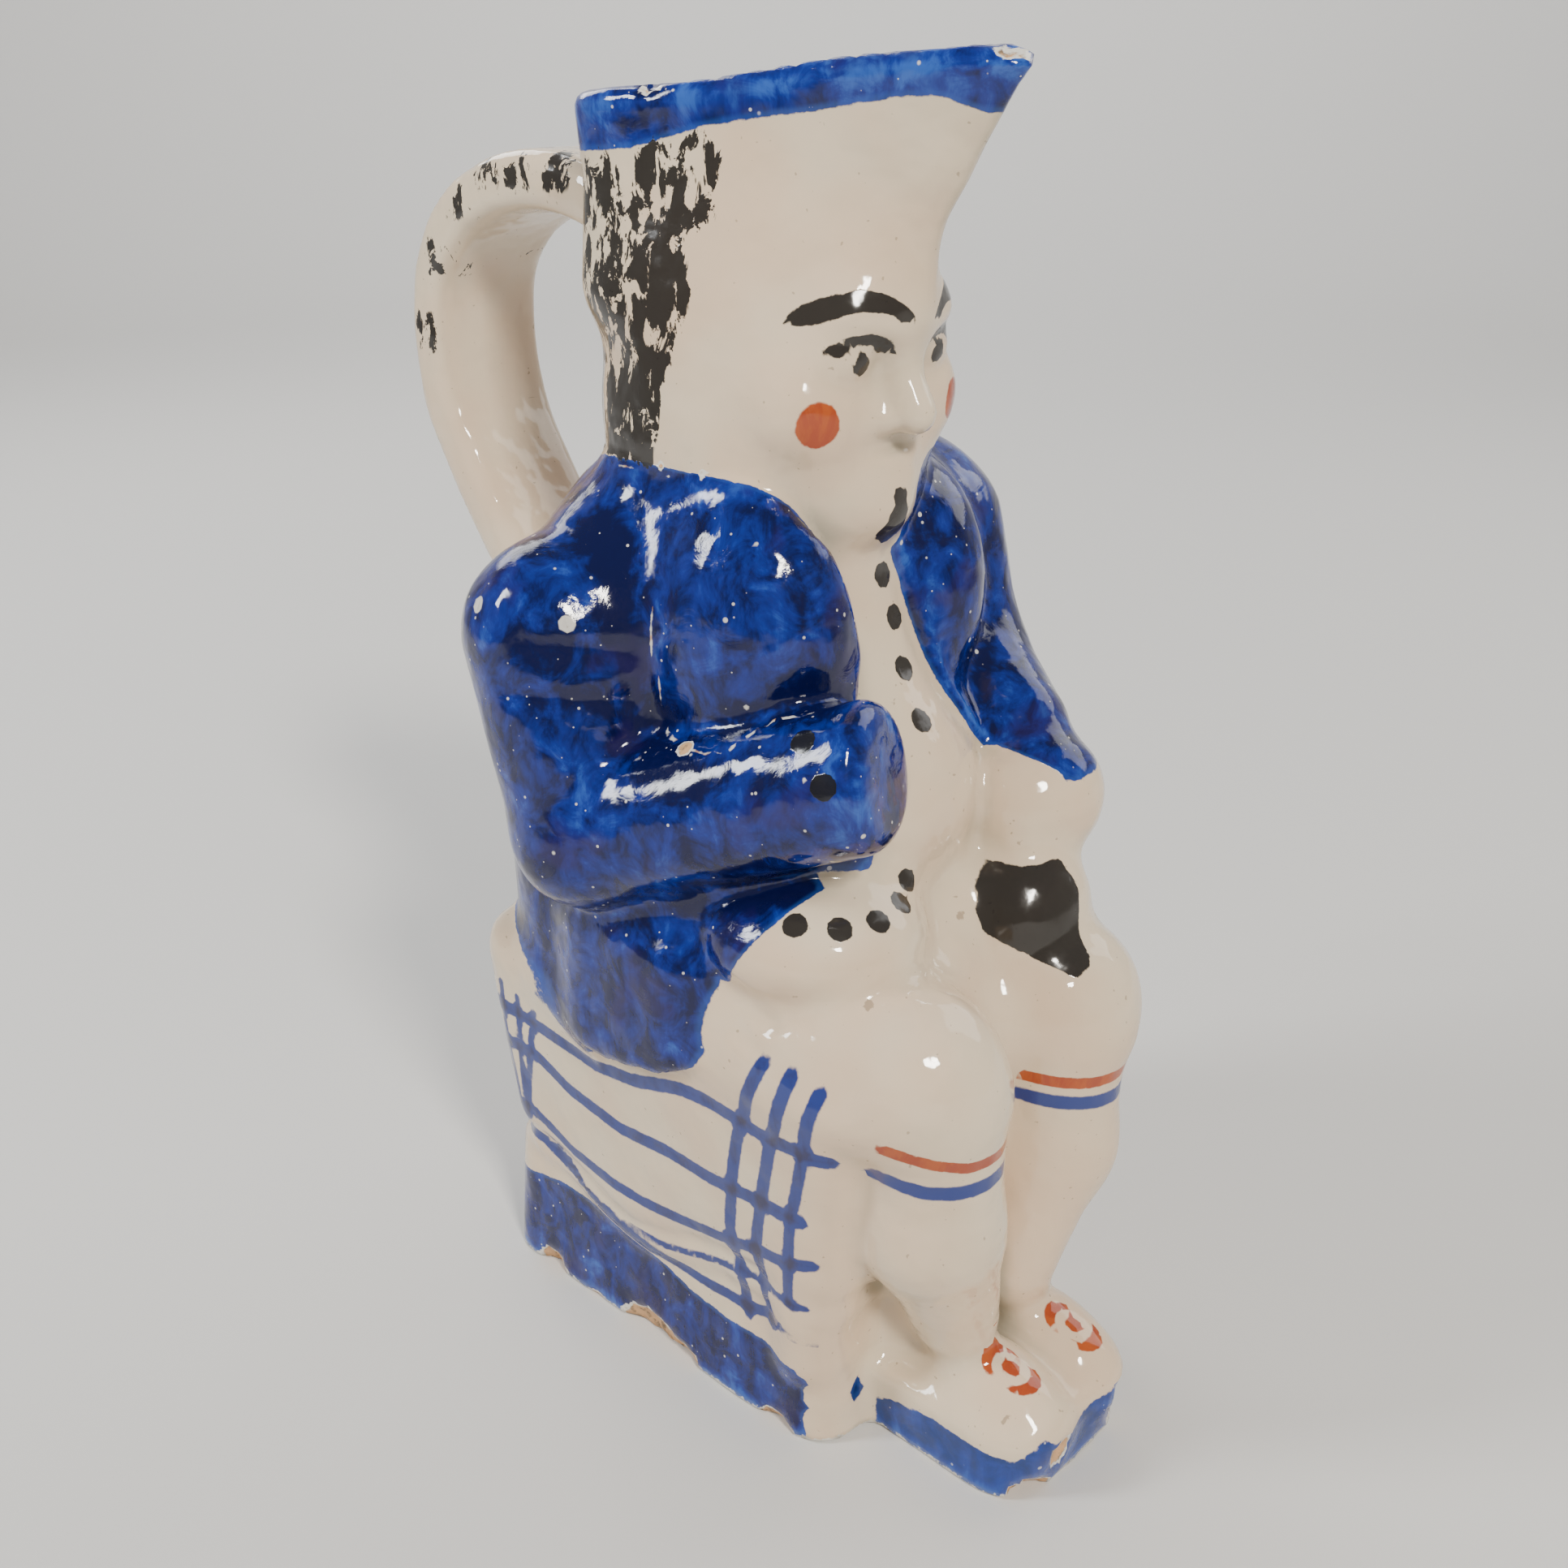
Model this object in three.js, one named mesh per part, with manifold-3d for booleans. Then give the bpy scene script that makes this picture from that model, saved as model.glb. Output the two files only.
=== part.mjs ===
// A glazed earthenware toby jug: a seated figure in an open coat, whose cocked hat is the jug's mouth and
// spout, with a strap handle behind. Millimetres, +Z up, the figure faces -Y, and the origin is on the
// underside, below the middle of the seat.
import * as THREE from "three";
import { mergeVertices } from "three/addons/utils/BufferGeometryUtils.js";
import Module from "manifold-3d";

// Driving dimensions of the vessel
const HEIGHT = 300; // table to the tip of the spout
const WALL = 6; // fired wall of the body
const LIP_WALL = 4.8; // wall at the mouth
const FLOOR = 8; // clay under the hollow
const BASE_WIDTH = 89;
const BASE_DEPTH = 118;
const BASE_HEIGHT = 37;
const BASE_FLARE = 0.05; // each side leans out by this much of its height
const SEAT_WIDTH = 95;
const SEAT_DEPTH = 117;
const SEAT_TOP = 106;
const SEAT_FLARE = -0.08; // the drape tucks in toward its hem
const TOE_BLOCK_WIDTH = 46;
const TOE_BLOCK_HEIGHT = 17;
const TOE_BLOCK_FRONT = 102; // from the origin to the toes
const HAT_BACK_WIDTH = 66; // across the two rear corners of the mouth
const SPOUT_REACH = 68; // from the origin to the tip of the spout
const HAT_BACK = 28; // from the origin to the hat's back
const HANDLE_WIDTH = 32;
const HANDLE_THICKNESS = 13;
const HANDLE_REACH = 101; // from the origin to the middle of the strap at its furthest

// How finely the form is sampled, and how many triangles are kept
const CELL = 2.6;
const KEPT_TRIANGLES = 9400;
const BLOCK = 4;

// The figure's proportions are written for a jug 300 mm tall and follow HEIGHT
const U = HEIGHT / 300;

// Signed distances: negative inside, in millimetres
const mix = (a, b, t) => a + (b - a) * t;
const clamp = (v, low, high) => Math.min(Math.max(v, low), high);
const ease = (low, high, v) => {
  const t = clamp((v - low) / (high - low), 0, 1);
  return t * t * (3 - 2 * t);
};
const blendMin = (a, b, k) => {
  const h = Math.max(k - Math.abs(a - b), 0) / k;
  return Math.min(a, b) - (h * h * k) / 4;
};
const blendMax = (a, b, k) => -blendMin(-a, -b, k);
const size = (a, b, c = 0) => Math.sqrt(a * a + b * b + c * c);

// An ellipsoid, turned about X by tilt degrees
function ball(x, y, z, rx, ry, rz, tilt = 0) {
  const c = Math.cos(THREE.MathUtils.degToRad(tilt));
  const s = Math.sin(THREE.MathUtils.degToRad(tilt));
  [x, y, z, rx, ry, rz] = [x, y, z, rx, ry, rz].map((v) => v * U);
  return (px, py, pz) => {
    const dx = px - x;
    const dy = (py - y) * c + (pz - z) * s;
    const dz = (pz - z) * c - (py - y) * s;
    const near = size(dx / rx, dy / ry, dz / rz);
    const slope = size(dx / (rx * rx), dy / (ry * ry), dz / (rz * rz));
    return slope < 1e-9 ? -Math.min(rx, ry, rz) : (near * (near - 1)) / slope;
  };
}

// A round limb from a to b, of radius ra at a and rb at b
function limb(a, b, ra, rb) {
  const [ax, ay, az] = a.map((v) => v * U);
  const [bx, by, bz] = b.map((v, i) => v * U - [ax, ay, az][i]);
  const long = bx * bx + by * by + bz * bz;
  return (px, py, pz) => {
    const dx = px - ax;
    const dy = py - ay;
    const dz = pz - az;
    const t = clamp((dx * bx + dy * by + dz * bz) / long, 0, 1);
    return size(dx - bx * t, dy - by * t, dz - bz * t) - mix(ra, rb, t) * U;
  };
}

// An upright block with rounded plan corners and rounded top and bottom edges
function block(x, y, width, depth, bottom, top, corner, edge, flare = 0) {
  const middle = (bottom + top) / 2;
  const half = (top - bottom) / 2;
  return (px, py, pz) => {
    const grow = flare * (middle - pz);
    const dx = Math.abs(px - x) - width / 2 - grow + corner;
    const dy = Math.abs(py - y) - depth / 2 - grow + corner;
    const plan = size(Math.max(dx, 0), Math.max(dy, 0)) + Math.min(Math.max(dx, dy), 0) - corner;
    const du = plan + edge;
    const dv = Math.abs(pz - middle) - half + edge;
    return size(Math.max(du, 0), Math.max(dv, 0)) + Math.min(Math.max(du, dv), 0) - edge;
  };
}

function join(k, ...forms) {
  return (x, y, z) => {
    let d = 1e3;
    for (const form of forms) d = blendMin(d, form(x, y, z), k);
    return d;
  };
}

// A value that follows [at, value] pairs, straight between them
function along(pairs, at) {
  for (let i = 1; i < pairs.length; i++) {
    const [a, from] = pairs[i - 1];
    const [b, to] = pairs[i];
    if (at < b * U || i === pairs.length - 1) return mix(from, to, clamp((at / U - a) / (b - a), 0, 1)) * U;
  }
}

// The hat: a three-cornered funnel, wide behind and pointed in front
const HAT_FOOT = 252 * U;
const HAT_FOOT_WIDTH = 58 * U;
const HAT_FOOT_BACK = 26.5 * U;
const SPOUT_FOOT = 33 * U; // from the origin to the keel where it leaves the forehead
const SPOUT_ROUND = 5 * U;
const RIM_DROP = 8 * U;
const rimHeight = (y) => HEIGHT - RIM_DROP * clamp((y + SPOUT_REACH - 12 * U) / (SPOUT_REACH + 8 * U), 0, 1);

function hat(inset) {
  return (x, y, z) => {
    const t = clamp((z - HAT_FOOT) / (HEIGHT - HAT_FOOT), 0, 1.1);
    const tip = -mix(SPOUT_FOOT, SPOUT_REACH, Math.pow(t, 1.15)) - 3 * SPOUT_ROUND;
    const back = mix(HAT_FOOT_BACK, HAT_BACK, t);
    const half = mix(HAT_FOOT_WIDTH, HAT_BACK_WIDTH, t) / 2;
    const slant = half + 7 * U;
    const side = ((back - tip) * size(x, SPOUT_ROUND) + slant * (tip - y)) / size(slant, back - tip);
    const plan = blendMax(blendMax(side, y - back, 14 * U), Math.abs(x) - half, 10 * U);
    return blendMax(plan + inset, HAT_FOOT - z, 6 * U);
  };
}

// Trunk and head
const chest = ball(0, 3, 183, 38, 37, 38);
const belly = ball(0, -7, 146, 41, 47, 36);
const back = ball(0, 20, 168, 45, 30, 52);
const skirts = block(0, 11 * U, 94 * U, 79 * U, 86 * U, 142 * U, 26 * U, 7 * U);
const trunk = join(16 * U, chest, belly, back, skirts);
const neck = limb([0, 4, 192], [0, 2, 224], 34, 32.5);
const head = ball(0, -1, 240, 31, 37, 42);
const shoulders = join(
  8 * U,
  limb([-38, 18, 183], [-10, 8, 204], 19, 20.5),
  limb([42, 0, 198], [10, 8, 206], 19, 21.5),
);
const breast = join(6 * U, ball(-22, -17, 187, 18, 22, 30), ball(25, -13, 187, 18, 24, 30));

// The coat stands proud of the waistcoat: open in front, cut back below the arms
const COAT = 2.4 * U;
const RIGHT_OPENING = [
  [150, 20],
  [164, 17],
  [174, 14],
  [184, 11],
  [196, 14],
  [206, 17],
  [215, 24],
  [220, 29],
  [224, 44],
];
const LEFT_OPENING = [
  [152, 28],
  [159, 20],
  [172, 14],
  [188, 10],
  [206, 7],
  [216, 7],
  [222, 16],
  [226, 40],
];
const SKIRT_FRONT = [
  [86, 10],
  [87, -1],
  [91, -18],
  [98, -28],
  [107, -33],
  [122, -35],
  [137, -38],
  [150, -80],
];
// The coat's front corners stand out over the seat
const flap = block(0, -5 * U, 102 * U, 50 * U, 86 * U, 122 * U, 14 * U, 5 * U);
const coatBody = join(7 * U, trunk, shoulders, breast, flap);
function coat(x, y, z) {
  const opening = along(x < 0 ? RIGHT_OPENING : LEFT_OPENING, z) - Math.abs(x);
  const cut = blendMax(opening, along(SKIRT_FRONT, z) - y, 6 * U);
  return blendMax(coatBody(x, y, z) - COAT, cut, 2 * U);
}
const waistcoat = join(8 * U, trunk, ball(-25, -38, 125, 24, 25, 15), ball(18, -42, 122, 22, 20, 12));

// Arms and hands
const ELBOW = [-48, 7, 142];
const upperArm = limb([-45, 19, 184], ELBOW, 20.5, 17.5);
const forearm = limb(ELBOW, [-27, -56, 166], 17.5, 15.5);
const CUFF_FACE = [0.3, -0.95, 0.2]; // the way the cuff's flat end faces
const CUFF_END = 73.6 * U; // from the elbow to that end
function rightArm(x, y, z) {
  const [dx, dy, dz] = [x - ELBOW[0] * U, y - ELBOW[1] * U, z - ELBOW[2] * U];
  const end = dx * CUFF_FACE[0] + dy * CUFF_FACE[1] + dz * CUFF_FACE[2] - CUFF_END;
  return blendMin(upperArm(x, y, z), blendMax(forearm(x, y, z), end, 6 * U), 3 * U);
}
const leftArm = join(
  5 * U,
  limb([45, -8, 195], [46, -18, 166], 20, 17.5),
  limb([46, -18, 166], [38, -42, 153], 17.5, 15),
);
const leftCuff = ball(34, -52, 142, 18, 17, 16);
const leftFist = ball(24, -59.5, 118, 17, 14.5, 16.5);
const arms = join(4 * U, rightArm, leftArm, join(7 * U, leftCuff, leftFist));

// Legs and shoes
function leg(x, knee, ankle, toe) {
  const thigh = limb([x, -16, knee + 6], [x, -68, knee], 23, 19.5);
  const calf = limb([x * 0.9, -71, knee - 8], [x * 0.85, -71, 62], 16.5, 15.5);
  const shin = limb([x * 0.85, -71, 62], [ankle, -74, 34], 15.5, 10);
  const shoe = ball(toe, -84, 15, 12, 20, 12, 10);
  return join(6 * U, thigh, calf, shin, shoe);
}
const legs = join(3 * U, leg(-26, 101, -15, -13), leg(26, 98, 7, 9));

// What the figure sits on: a draped seat, its base and the block under the toes
const SEAT_MIDDLE = -5.5 * U;
const seat = block(0, SEAT_MIDDLE, SEAT_WIDTH, SEAT_DEPTH, BASE_HEIGHT, SEAT_TOP, 10 * U, 21 * U, SEAT_FLARE);
const base = block(
  0,
  -1 * U,
  BASE_WIDTH,
  BASE_DEPTH,
  -2 * BASE_HEIGHT,
  BASE_HEIGHT + 3 * U,
  10 * U,
  5 * U,
  BASE_FLARE,
);
const toeBlock = block(
  -4 * U,
  -TOE_BLOCK_FRONT / 2,
  TOE_BLOCK_WIDTH,
  TOE_BLOCK_FRONT,
  -BASE_HEIGHT,
  TOE_BLOCK_HEIGHT,
  12 * U,
  3 * U,
);
const hem = block(
  0,
  SEAT_MIDDLE,
  SEAT_WIDTH - 7 * U,
  SEAT_DEPTH - 7 * U,
  BASE_HEIGHT - 1 * U,
  BASE_HEIGHT + 7 * U,
  10 * U,
  4 * U,
);
// Clay fills in behind the calves and between the thighs
const web = block(-2 * U, -SEAT_DEPTH / 2, 38 * U, 20 * U, -BASE_HEIGHT, SEAT_TOP, 8 * U, 6 * U);
const lap = ball(0, -46, 108, 20, 18, 18);
const furniture = join(5 * U, join(2 * U, seat, hem), base, toeBlock, web, lap);

// The face keeps to even thirds between hairline, brow, nose and chin
const BROW = 250;
const NOSE_BASE = 228.5;
const CHIN = 207;
const brow = limb([-12, -34, BROW + 1], [12, -34, BROW + 1], 4.5, 4.5);
const nose = limb([0, -35, BROW - 3], [0, -41.5, NOSE_BASE + 4], 3.2, 4.6);
const nostril = (x) => ball(x, -37, NOSE_BASE + 2.6, 3, 4, 2.8);
const nostrils = join(2 * U, nostril(-4.4), nostril(4.4));
const cheeks = join(2 * U, ball(-16, -27, 233, 11, 9, 10), ball(16, -27, 233, 11, 9, 10));
const jaw = ball(0, -11, 217, 27, 25, 16);
const chin = ball(0, -29, CHIN + 5, 9, 9, 7);
const lips = join(1 * U, ball(0, -34.5, 222.4, 8, 4, 2.2), ball(0, -34, 218.4, 7, 4.2, 2.6));
const sockets = join(1 * U, ball(-12, -41, 243, 8, 6, 5.5), ball(12, -41, 243, 8, 6, 5.5));
const eyes = join(1 * U, ball(-12, -32.5, 243, 6.5, 5, 4.6), ball(12, -32.5, 243, 6.5, 5, 4.6));
function face(x, y, z) {
  if (y > 0) return head(x, y, z);
  let d = blendMin(join(9 * U, head, jaw)(x, y, z), cheeks(x, y, z), 8 * U);
  d = blendMin(d, join(2 * U, brow, chin)(x, y, z), 8 * U);
  d = blendMax(d, -sockets(x, y, z), 5 * U);
  d = blendMin(d, join(2 * U, nose, nostrils)(x, y, z), 4 * U);
  return blendMin(d, join(1 * U, lips, eyes)(x, y, z), 2.5 * U);
}

// The strap handle runs in the plane x = 0
const HANDLE_CORNER = 4.5 * U;
const handlePath = new THREE.CatmullRomCurve3(
  [
    [24, 264],
    [46, 272],
    [68, 272],
    [87, 264],
    [98, 250],
    [100, 233],
    [97, 217],
    [87, 199],
    [74, 182],
    [50, 160],
  ].map(([y, z]) => new THREE.Vector3(0, (y / 100) * HANDLE_REACH, z * U)),
  false,
  "centripetal",
).getSpacedPoints(36);

function handle(x, y, z) {
  if (y < 0) return HAT_BACK - y;
  let nearest = 1e6;
  for (let i = 1; i < handlePath.length; i++) {
    const a = handlePath[i - 1];
    const b = handlePath[i];
    const dy = b.y - a.y;
    const dz = b.z - a.z;
    const t = clamp(((y - a.y) * dy + (z - a.z) * dz) / (dy * dy + dz * dz), 0, 1);
    nearest = Math.min(nearest, (y - a.y - dy * t) ** 2 + (z - a.z - dz * t) ** 2);
  }
  const du = Math.sqrt(nearest) - HANDLE_THICKNESS / 2 + HANDLE_CORNER;
  const dv = Math.abs(x) - HANDLE_WIDTH / 2 + HANDLE_CORNER;
  return size(Math.max(du, 0), Math.max(dv, 0)) + Math.min(Math.max(du, dv), 0) - HANDLE_CORNER;
}

const hatOutside = hat(0);
function outside(x, y, z) {
  const person = blendMin(blendMin(coat(x, y, z), waistcoat(x, y, z), 3 * U), arms(x, y, z), 4 * U);
  const lower = blendMin(legs(x, y, z), furniture(x, y, z), mix(5, 10, ease(76 * U, 98 * U, z)) * U);
  const seated = blendMin(person, lower, 5 * U);
  const headed = blendMin(seated, blendMin(neck(x, y, z), face(x, y, z), 8 * U), 5 * U);
  const hatted = blendMin(headed, hatOutside(x, y, z), 16 * U);
  return blendMax(blendMin(hatted, handle(x, y, z), 8 * U), z - rimHeight(y), 4 * U);
}

// The hollow follows the trunk, the head and the seat, not the limbs
const hatInside = hat(LIP_WALL);
const seatCore = block(
  0,
  SEAT_MIDDLE + 0.5 * U,
  BASE_WIDTH - 4 * U,
  SEAT_DEPTH - 8 * U,
  -BASE_HEIGHT,
  SEAT_TOP,
  14 * U,
  9 * U,
);
const core = join(8 * U, trunk, neck, head, seatCore);
function hollow(x, y, z) {
  const below = blendMax(core(x, y, z) + WALL, FLOOR - z, 6 * U);
  return blendMin(below, hatInside(x, y, z), 8 * U);
}

const jugForm = (x, y, z) => blendMax(outside(x, y, z), -hollow(x, y, z), 2 * U);

// Turns a form into a closed surface: one vertex in each cell that the surface crosses, moved onto it
function surfaceOf(form, low, high, cell) {
  const count = low.map((v, i) => Math.ceil((high[i] - v) / cell) + 1);
  const [nx, ny, nz] = count;
  const value = new Float32Array(nx * ny * nz);
  const index = (i, j, k) => i + nx * (j + ny * k);
  // A block of cells that the surface can't reach takes one value
  for (let k = 0; k < nz; k += BLOCK)
    for (let j = 0; j < ny; j += BLOCK)
      for (let i = 0; i < nx; i += BLOCK) {
        const middle = [i, j, k].map((n, a) => low[a] + (n + BLOCK / 2) * cell);
        const there = form(...middle);
        const far = Math.abs(there) > BLOCK * cell * 1.3;
        for (let c = k; c < Math.min(k + BLOCK, nz); c++)
          for (let b = j; b < Math.min(j + BLOCK, ny); b++)
            for (let a = i; a < Math.min(i + BLOCK, nx); a++)
              value[index(a, b, c)] = far ? there : form(...[a, b, c].map((n, m) => low[m] + n * cell));
      }

  const corners = [];
  for (let c = 0; c < 8; c++) corners.push([c & 1, (c >> 1) & 1, (c >> 2) & 1]);
  const offsets = corners.map((corner) => index(...corner));
  const edges = [];
  for (let a = 0; a < 8; a++)
    for (let bit = 1; bit < 8; bit *= 2) if (!(a & bit)) edges.push([a, a | bit]);

  const positions = [];
  const vertexOf = new Map();
  for (let k = 0; k < nz - 1; k++)
    for (let j = 0; j < ny - 1; j++)
      for (let i = 0; i < nx - 1; i++) {
        const at = index(i, j, k);
        let inside = 0;
        for (const offset of offsets) if (value[at + offset] < 0) inside++;
        if (inside === 0 || inside === 8) continue;
        const v = offsets.map((offset) => value[at + offset]);
        const sum = [0, 0, 0];
        let crossings = 0;
        for (const [a, b] of edges) {
          if (v[a] < 0 === v[b] < 0) continue;
          const t = v[a] / (v[a] - v[b]);
          for (let n = 0; n < 3; n++) sum[n] += mix(corners[a][n], corners[b][n], t);
          crossings++;
        }
        vertexOf.set(index(i, j, k), positions.length / 3);
        positions.push(
          low[0] + (i + sum[0] / crossings) * cell,
          low[1] + (j + sum[1] / crossings) * cell,
          low[2] + (k + sum[2] / crossings) * cell,
        );
      }

  const triangles = [];
  const step = [1, nx, nx * ny];
  for (let k = 1; k < nz - 1; k++)
    for (let j = 1; j < ny - 1; j++)
      for (let i = 1; i < nx - 1; i++) {
        const at = index(i, j, k);
        for (let n = 0; n < 3; n++) {
          const from = value[at] < 0;
          if (from === value[at + step[n]] < 0) continue;
          const u = step[(n + 1) % 3];
          const w = step[(n + 2) % 3];
          const quad = [at, at - u, at - u - w, at - w].map((c) => vertexOf.get(c));
          if (!from) quad.reverse();
          triangles.push(quad[0], quad[1], quad[2], quad[0], quad[2], quad[3]);
        }
      }

  const e = cell / 20;
  for (let p = 0; p < positions.length; p += 3)
    for (let pass = 0; pass < 3; pass++) {
      const [x, y, z] = positions.slice(p, p + 3);
      const d = form(x, y, z);
      const g = [
        (form(x + e, y, z) - form(x - e, y, z)) / (2 * e),
        (form(x, y + e, z) - form(x, y - e, z)) / (2 * e),
        (form(x, y, z + e) - form(x, y, z - e)) / (2 * e),
      ];
      const slope = g[0] * g[0] + g[1] * g[1] + g[2] * g[2];
      for (let n = 0; n < 3; n++) {
        const move = (d * g[n]) / Math.max(slope, 0.05);
        positions[p + n] -= clamp(move, -cell / 3, cell / 3);
      }
    }
  return { positions, triangles };
}

// Collapses the edges that change the surface least, until few enough triangles are left
function simplify({ positions, triangles }, keep) {
  const place = Float64Array.from(positions);
  const faces = [];
  for (let t = 0; t < triangles.length; t += 3) faces.push(triangles.slice(t, t + 3));
  const around = Array.from({ length: place.length / 3 }, () => new Set());
  faces.forEach((face, f) => face.forEach((v) => around[v].add(f)));

  const normalOf = (face, moved, point) => {
    const p = face.map((v) => (v === moved ? point : [place[3 * v], place[3 * v + 1], place[3 * v + 2]]));
    const a = p[1].map((v, n) => v - p[0][n]);
    const b = p[2].map((v, n) => v - p[0][n]);
    return [a[1] * b[2] - a[2] * b[1], a[2] * b[0] - a[0] * b[2], a[0] * b[1] - a[1] * b[0]];
  };

  // Each vertex keeps the summed squared distance to the planes around it, as ten numbers
  const quadrics = around.map(() => new Float64Array(10));
  faces.forEach((face) => {
    const n = normalOf(face);
    const area = size(...n) || 1e-12;
    const [a, b, c] = n.map((v) => v / area);
    const v = face[0];
    const d = -(a * place[3 * v] + b * place[3 * v + 1] + c * place[3 * v + 2]);
    const plane = [a * a, a * b, a * c, a * d, b * b, b * c, b * d, c * c, c * d, d * d];
    for (const corner of face) plane.forEach((value, i) => (quadrics[corner][i] += value * area));
  });
  const errorAt = (q, [x, y, z]) =>
    q[0] * x * x + q[4] * y * y + q[7] * z * z + q[9] +
    2 * (q[1] * x * y + q[2] * x * z + q[3] * x + q[5] * y * z + q[6] * y + q[8] * z);

  // The best single point for an edge's two vertices
  function best(u, v) {
    const q = quadrics[u].map((value, i) => value + quadrics[v][i]);
    const middle = [0, 1, 2].map((n) => (place[3 * u + n] + place[3 * v + n]) / 2);
    const length = size(...[0, 1, 2].map((n) => place[3 * u + n] - place[3 * v + n]));
    const [a, b, c, d, e, f] = [q[0], q[1], q[2], q[4], q[5], q[7]];
    const scale = (a + d + f) * 1e-3;
    const m = new THREE.Matrix3().set(a + scale, b, c, b, d + scale, e, c, e, f + scale).invert();
    const right = new THREE.Vector3(
      scale * middle[0] - q[3],
      scale * middle[1] - q[6],
      scale * middle[2] - q[8],
    ).applyMatrix3(m);
    const away = right.distanceTo(new THREE.Vector3(...middle));
    const point = away < length ? right.toArray() : middle;
    return { point, cost: errorAt(q, point) + 1e-3 * length * length * length * length, q };
  }

  const heap = [];
  const lower = (a, b) => heap[a].cost < heap[b].cost;
  const swap = (a, b) => ([heap[a], heap[b]] = [heap[b], heap[a]]);
  function push(item) {
    let i = heap.push(item) - 1;
    for (let up = (i - 1) >> 1; i > 0 && lower(i, up); i = up, up = (i - 1) >> 1) swap(i, up);
  }
  function pop() {
    swap(0, heap.length - 1);
    const top = heap.pop();
    for (let i = 0, next; (next = 2 * i + 1) < heap.length; i = next) {
      if (next + 1 < heap.length && lower(next + 1, next)) next++;
      if (!lower(next, i)) break;
      swap(i, next);
    }
    return top;
  }

  const version = new Int32Array(around.length);
  const offer = (u, v) => push({ ...best(u, v), u, v, stamp: version[u] + version[v] });
  const neighbours = (v) => {
    const found = new Set();
    for (const f of around[v]) faces[f].forEach((w) => w !== v && found.add(w));
    return found;
  };
  around.forEach((_, v) => neighbours(v).forEach((w) => v < w && offer(v, w)));

  const flips = (v, other, point) => {
    for (const f of around[v]) {
      if (faces[f].includes(other)) continue;
      const before = normalOf(faces[f]);
      const after = normalOf(faces[f], v, point);
      const dot = before[0] * after[0] + before[1] * after[1] + before[2] * after[2];
      if (dot < 0.3 * size(...before) * size(...after)) return true;
    }
    return false;
  };

  let left = faces.length;
  while (left > keep && heap.length) {
    const { u, v, point, q, stamp } = pop();
    if (!around[u].size || !around[v].size || stamp !== version[u] + version[v]) continue;
    const shared = neighbours(v);
    if (!shared.has(u)) continue;
    if ([...neighbours(u)].filter((w) => shared.has(w)).length !== 2) continue;
    if (flips(u, v, point) || flips(v, u, point)) continue;
    for (const f of [...around[v]]) {
      if (faces[f].includes(u)) {
        faces[f].forEach((w) => around[w].delete(f));
        faces[f] = null;
        left--;
      } else {
        faces[f] = faces[f].map((w) => (w === v ? u : w));
        around[u].add(f);
      }
    }
    around[v].clear();
    quadrics[u] = q;
    point.forEach((value, n) => (place[3 * u + n] = value));
    version[u]++;
    neighbours(u).forEach((w) => offer(u, w));
  }

  const renumber = new Map();
  const out = { positions: [], triangles: [] };
  for (const face of faces.filter(Boolean))
    for (const v of face) {
      if (!renumber.has(v)) {
        renumber.set(v, renumber.size);
        out.positions.push(place[3 * v], place[3 * v + 1], place[3 * v + 2]);
      }
      out.triangles.push(renumber.get(v));
    }
  return out;
}

const wasm = await Module();
wasm.setup();
function solidOf({ positions, triangles }) {
  const vertProperties = Float32Array.from(positions);
  const triVerts = Uint32Array.from(triangles);
  return new wasm.Manifold(new wasm.Mesh({ numProp: 3, vertProperties, triVerts }));
}

// The form runs on below the table and is cut flat there
const BELOW = 6;
const MARGIN = HEIGHT / 10; // empty space sampled round the jug
const low = [-SEAT_WIDTH, -TOE_BLOCK_FRONT - MARGIN, -BELOW - MARGIN];
const high = [SEAT_WIDTH, HANDLE_REACH + HANDLE_THICKNESS + MARGIN, HEIGHT + MARGIN];
const sampled = surfaceOf((x, y, z) => Math.max(jugForm(x, y, z), -BELOW - z), low, high, CELL);
const whole = simplify(sampled, KEPT_TRIANGLES);
const slab = new THREE.BoxGeometry(2 * HEIGHT, 2 * HEIGHT, HEIGHT).translate(0, 0, -HEIGHT / 2);
slab.deleteAttribute("normal");
slab.deleteAttribute("uv");
const cutter = mergeVertices(slab);
const made = solidOf(whole)
  .subtract(solidOf({ positions: cutter.attributes.position.array, triangles: cutter.index.array }))
  .getMesh();

const geometry = new THREE.BufferGeometry()
  .setAttribute("position", new THREE.BufferAttribute(made.vertProperties, 3))
  .setIndex(new THREE.BufferAttribute(made.triVerts, 1));
geometry.computeVertexNormals();

// Where two folds of the clay touch, each is drawn in a little so that they stay apart
const APART = 0.02;
const { position, normal } = geometry.attributes;
const together = new Map();
for (let i = 0; i < position.count; i++) {
  const key = [position.getX(i), position.getY(i), position.getZ(i)].join();
  together.set(key, [...(together.get(key) ?? []), i]);
}
for (const touching of together.values()) {
  if (touching.length === 1) continue;
  for (const i of touching) {
    const drawn = new THREE.Vector3().fromBufferAttribute(normal, i).multiplyScalar(-APART);
    drawn.add(new THREE.Vector3().fromBufferAttribute(position, i));
    position.setXYZ(i, ...drawn);
  }
}

const glaze = new THREE.MeshStandardMaterial({ color: 0xe9e0d2, roughness: 0.12, metalness: 0 });
const jug = new THREE.Mesh(geometry, glaze);
jug.name = "jug";

const model = new THREE.Group();
model.add(jug);
export default model;
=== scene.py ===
import math

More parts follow.
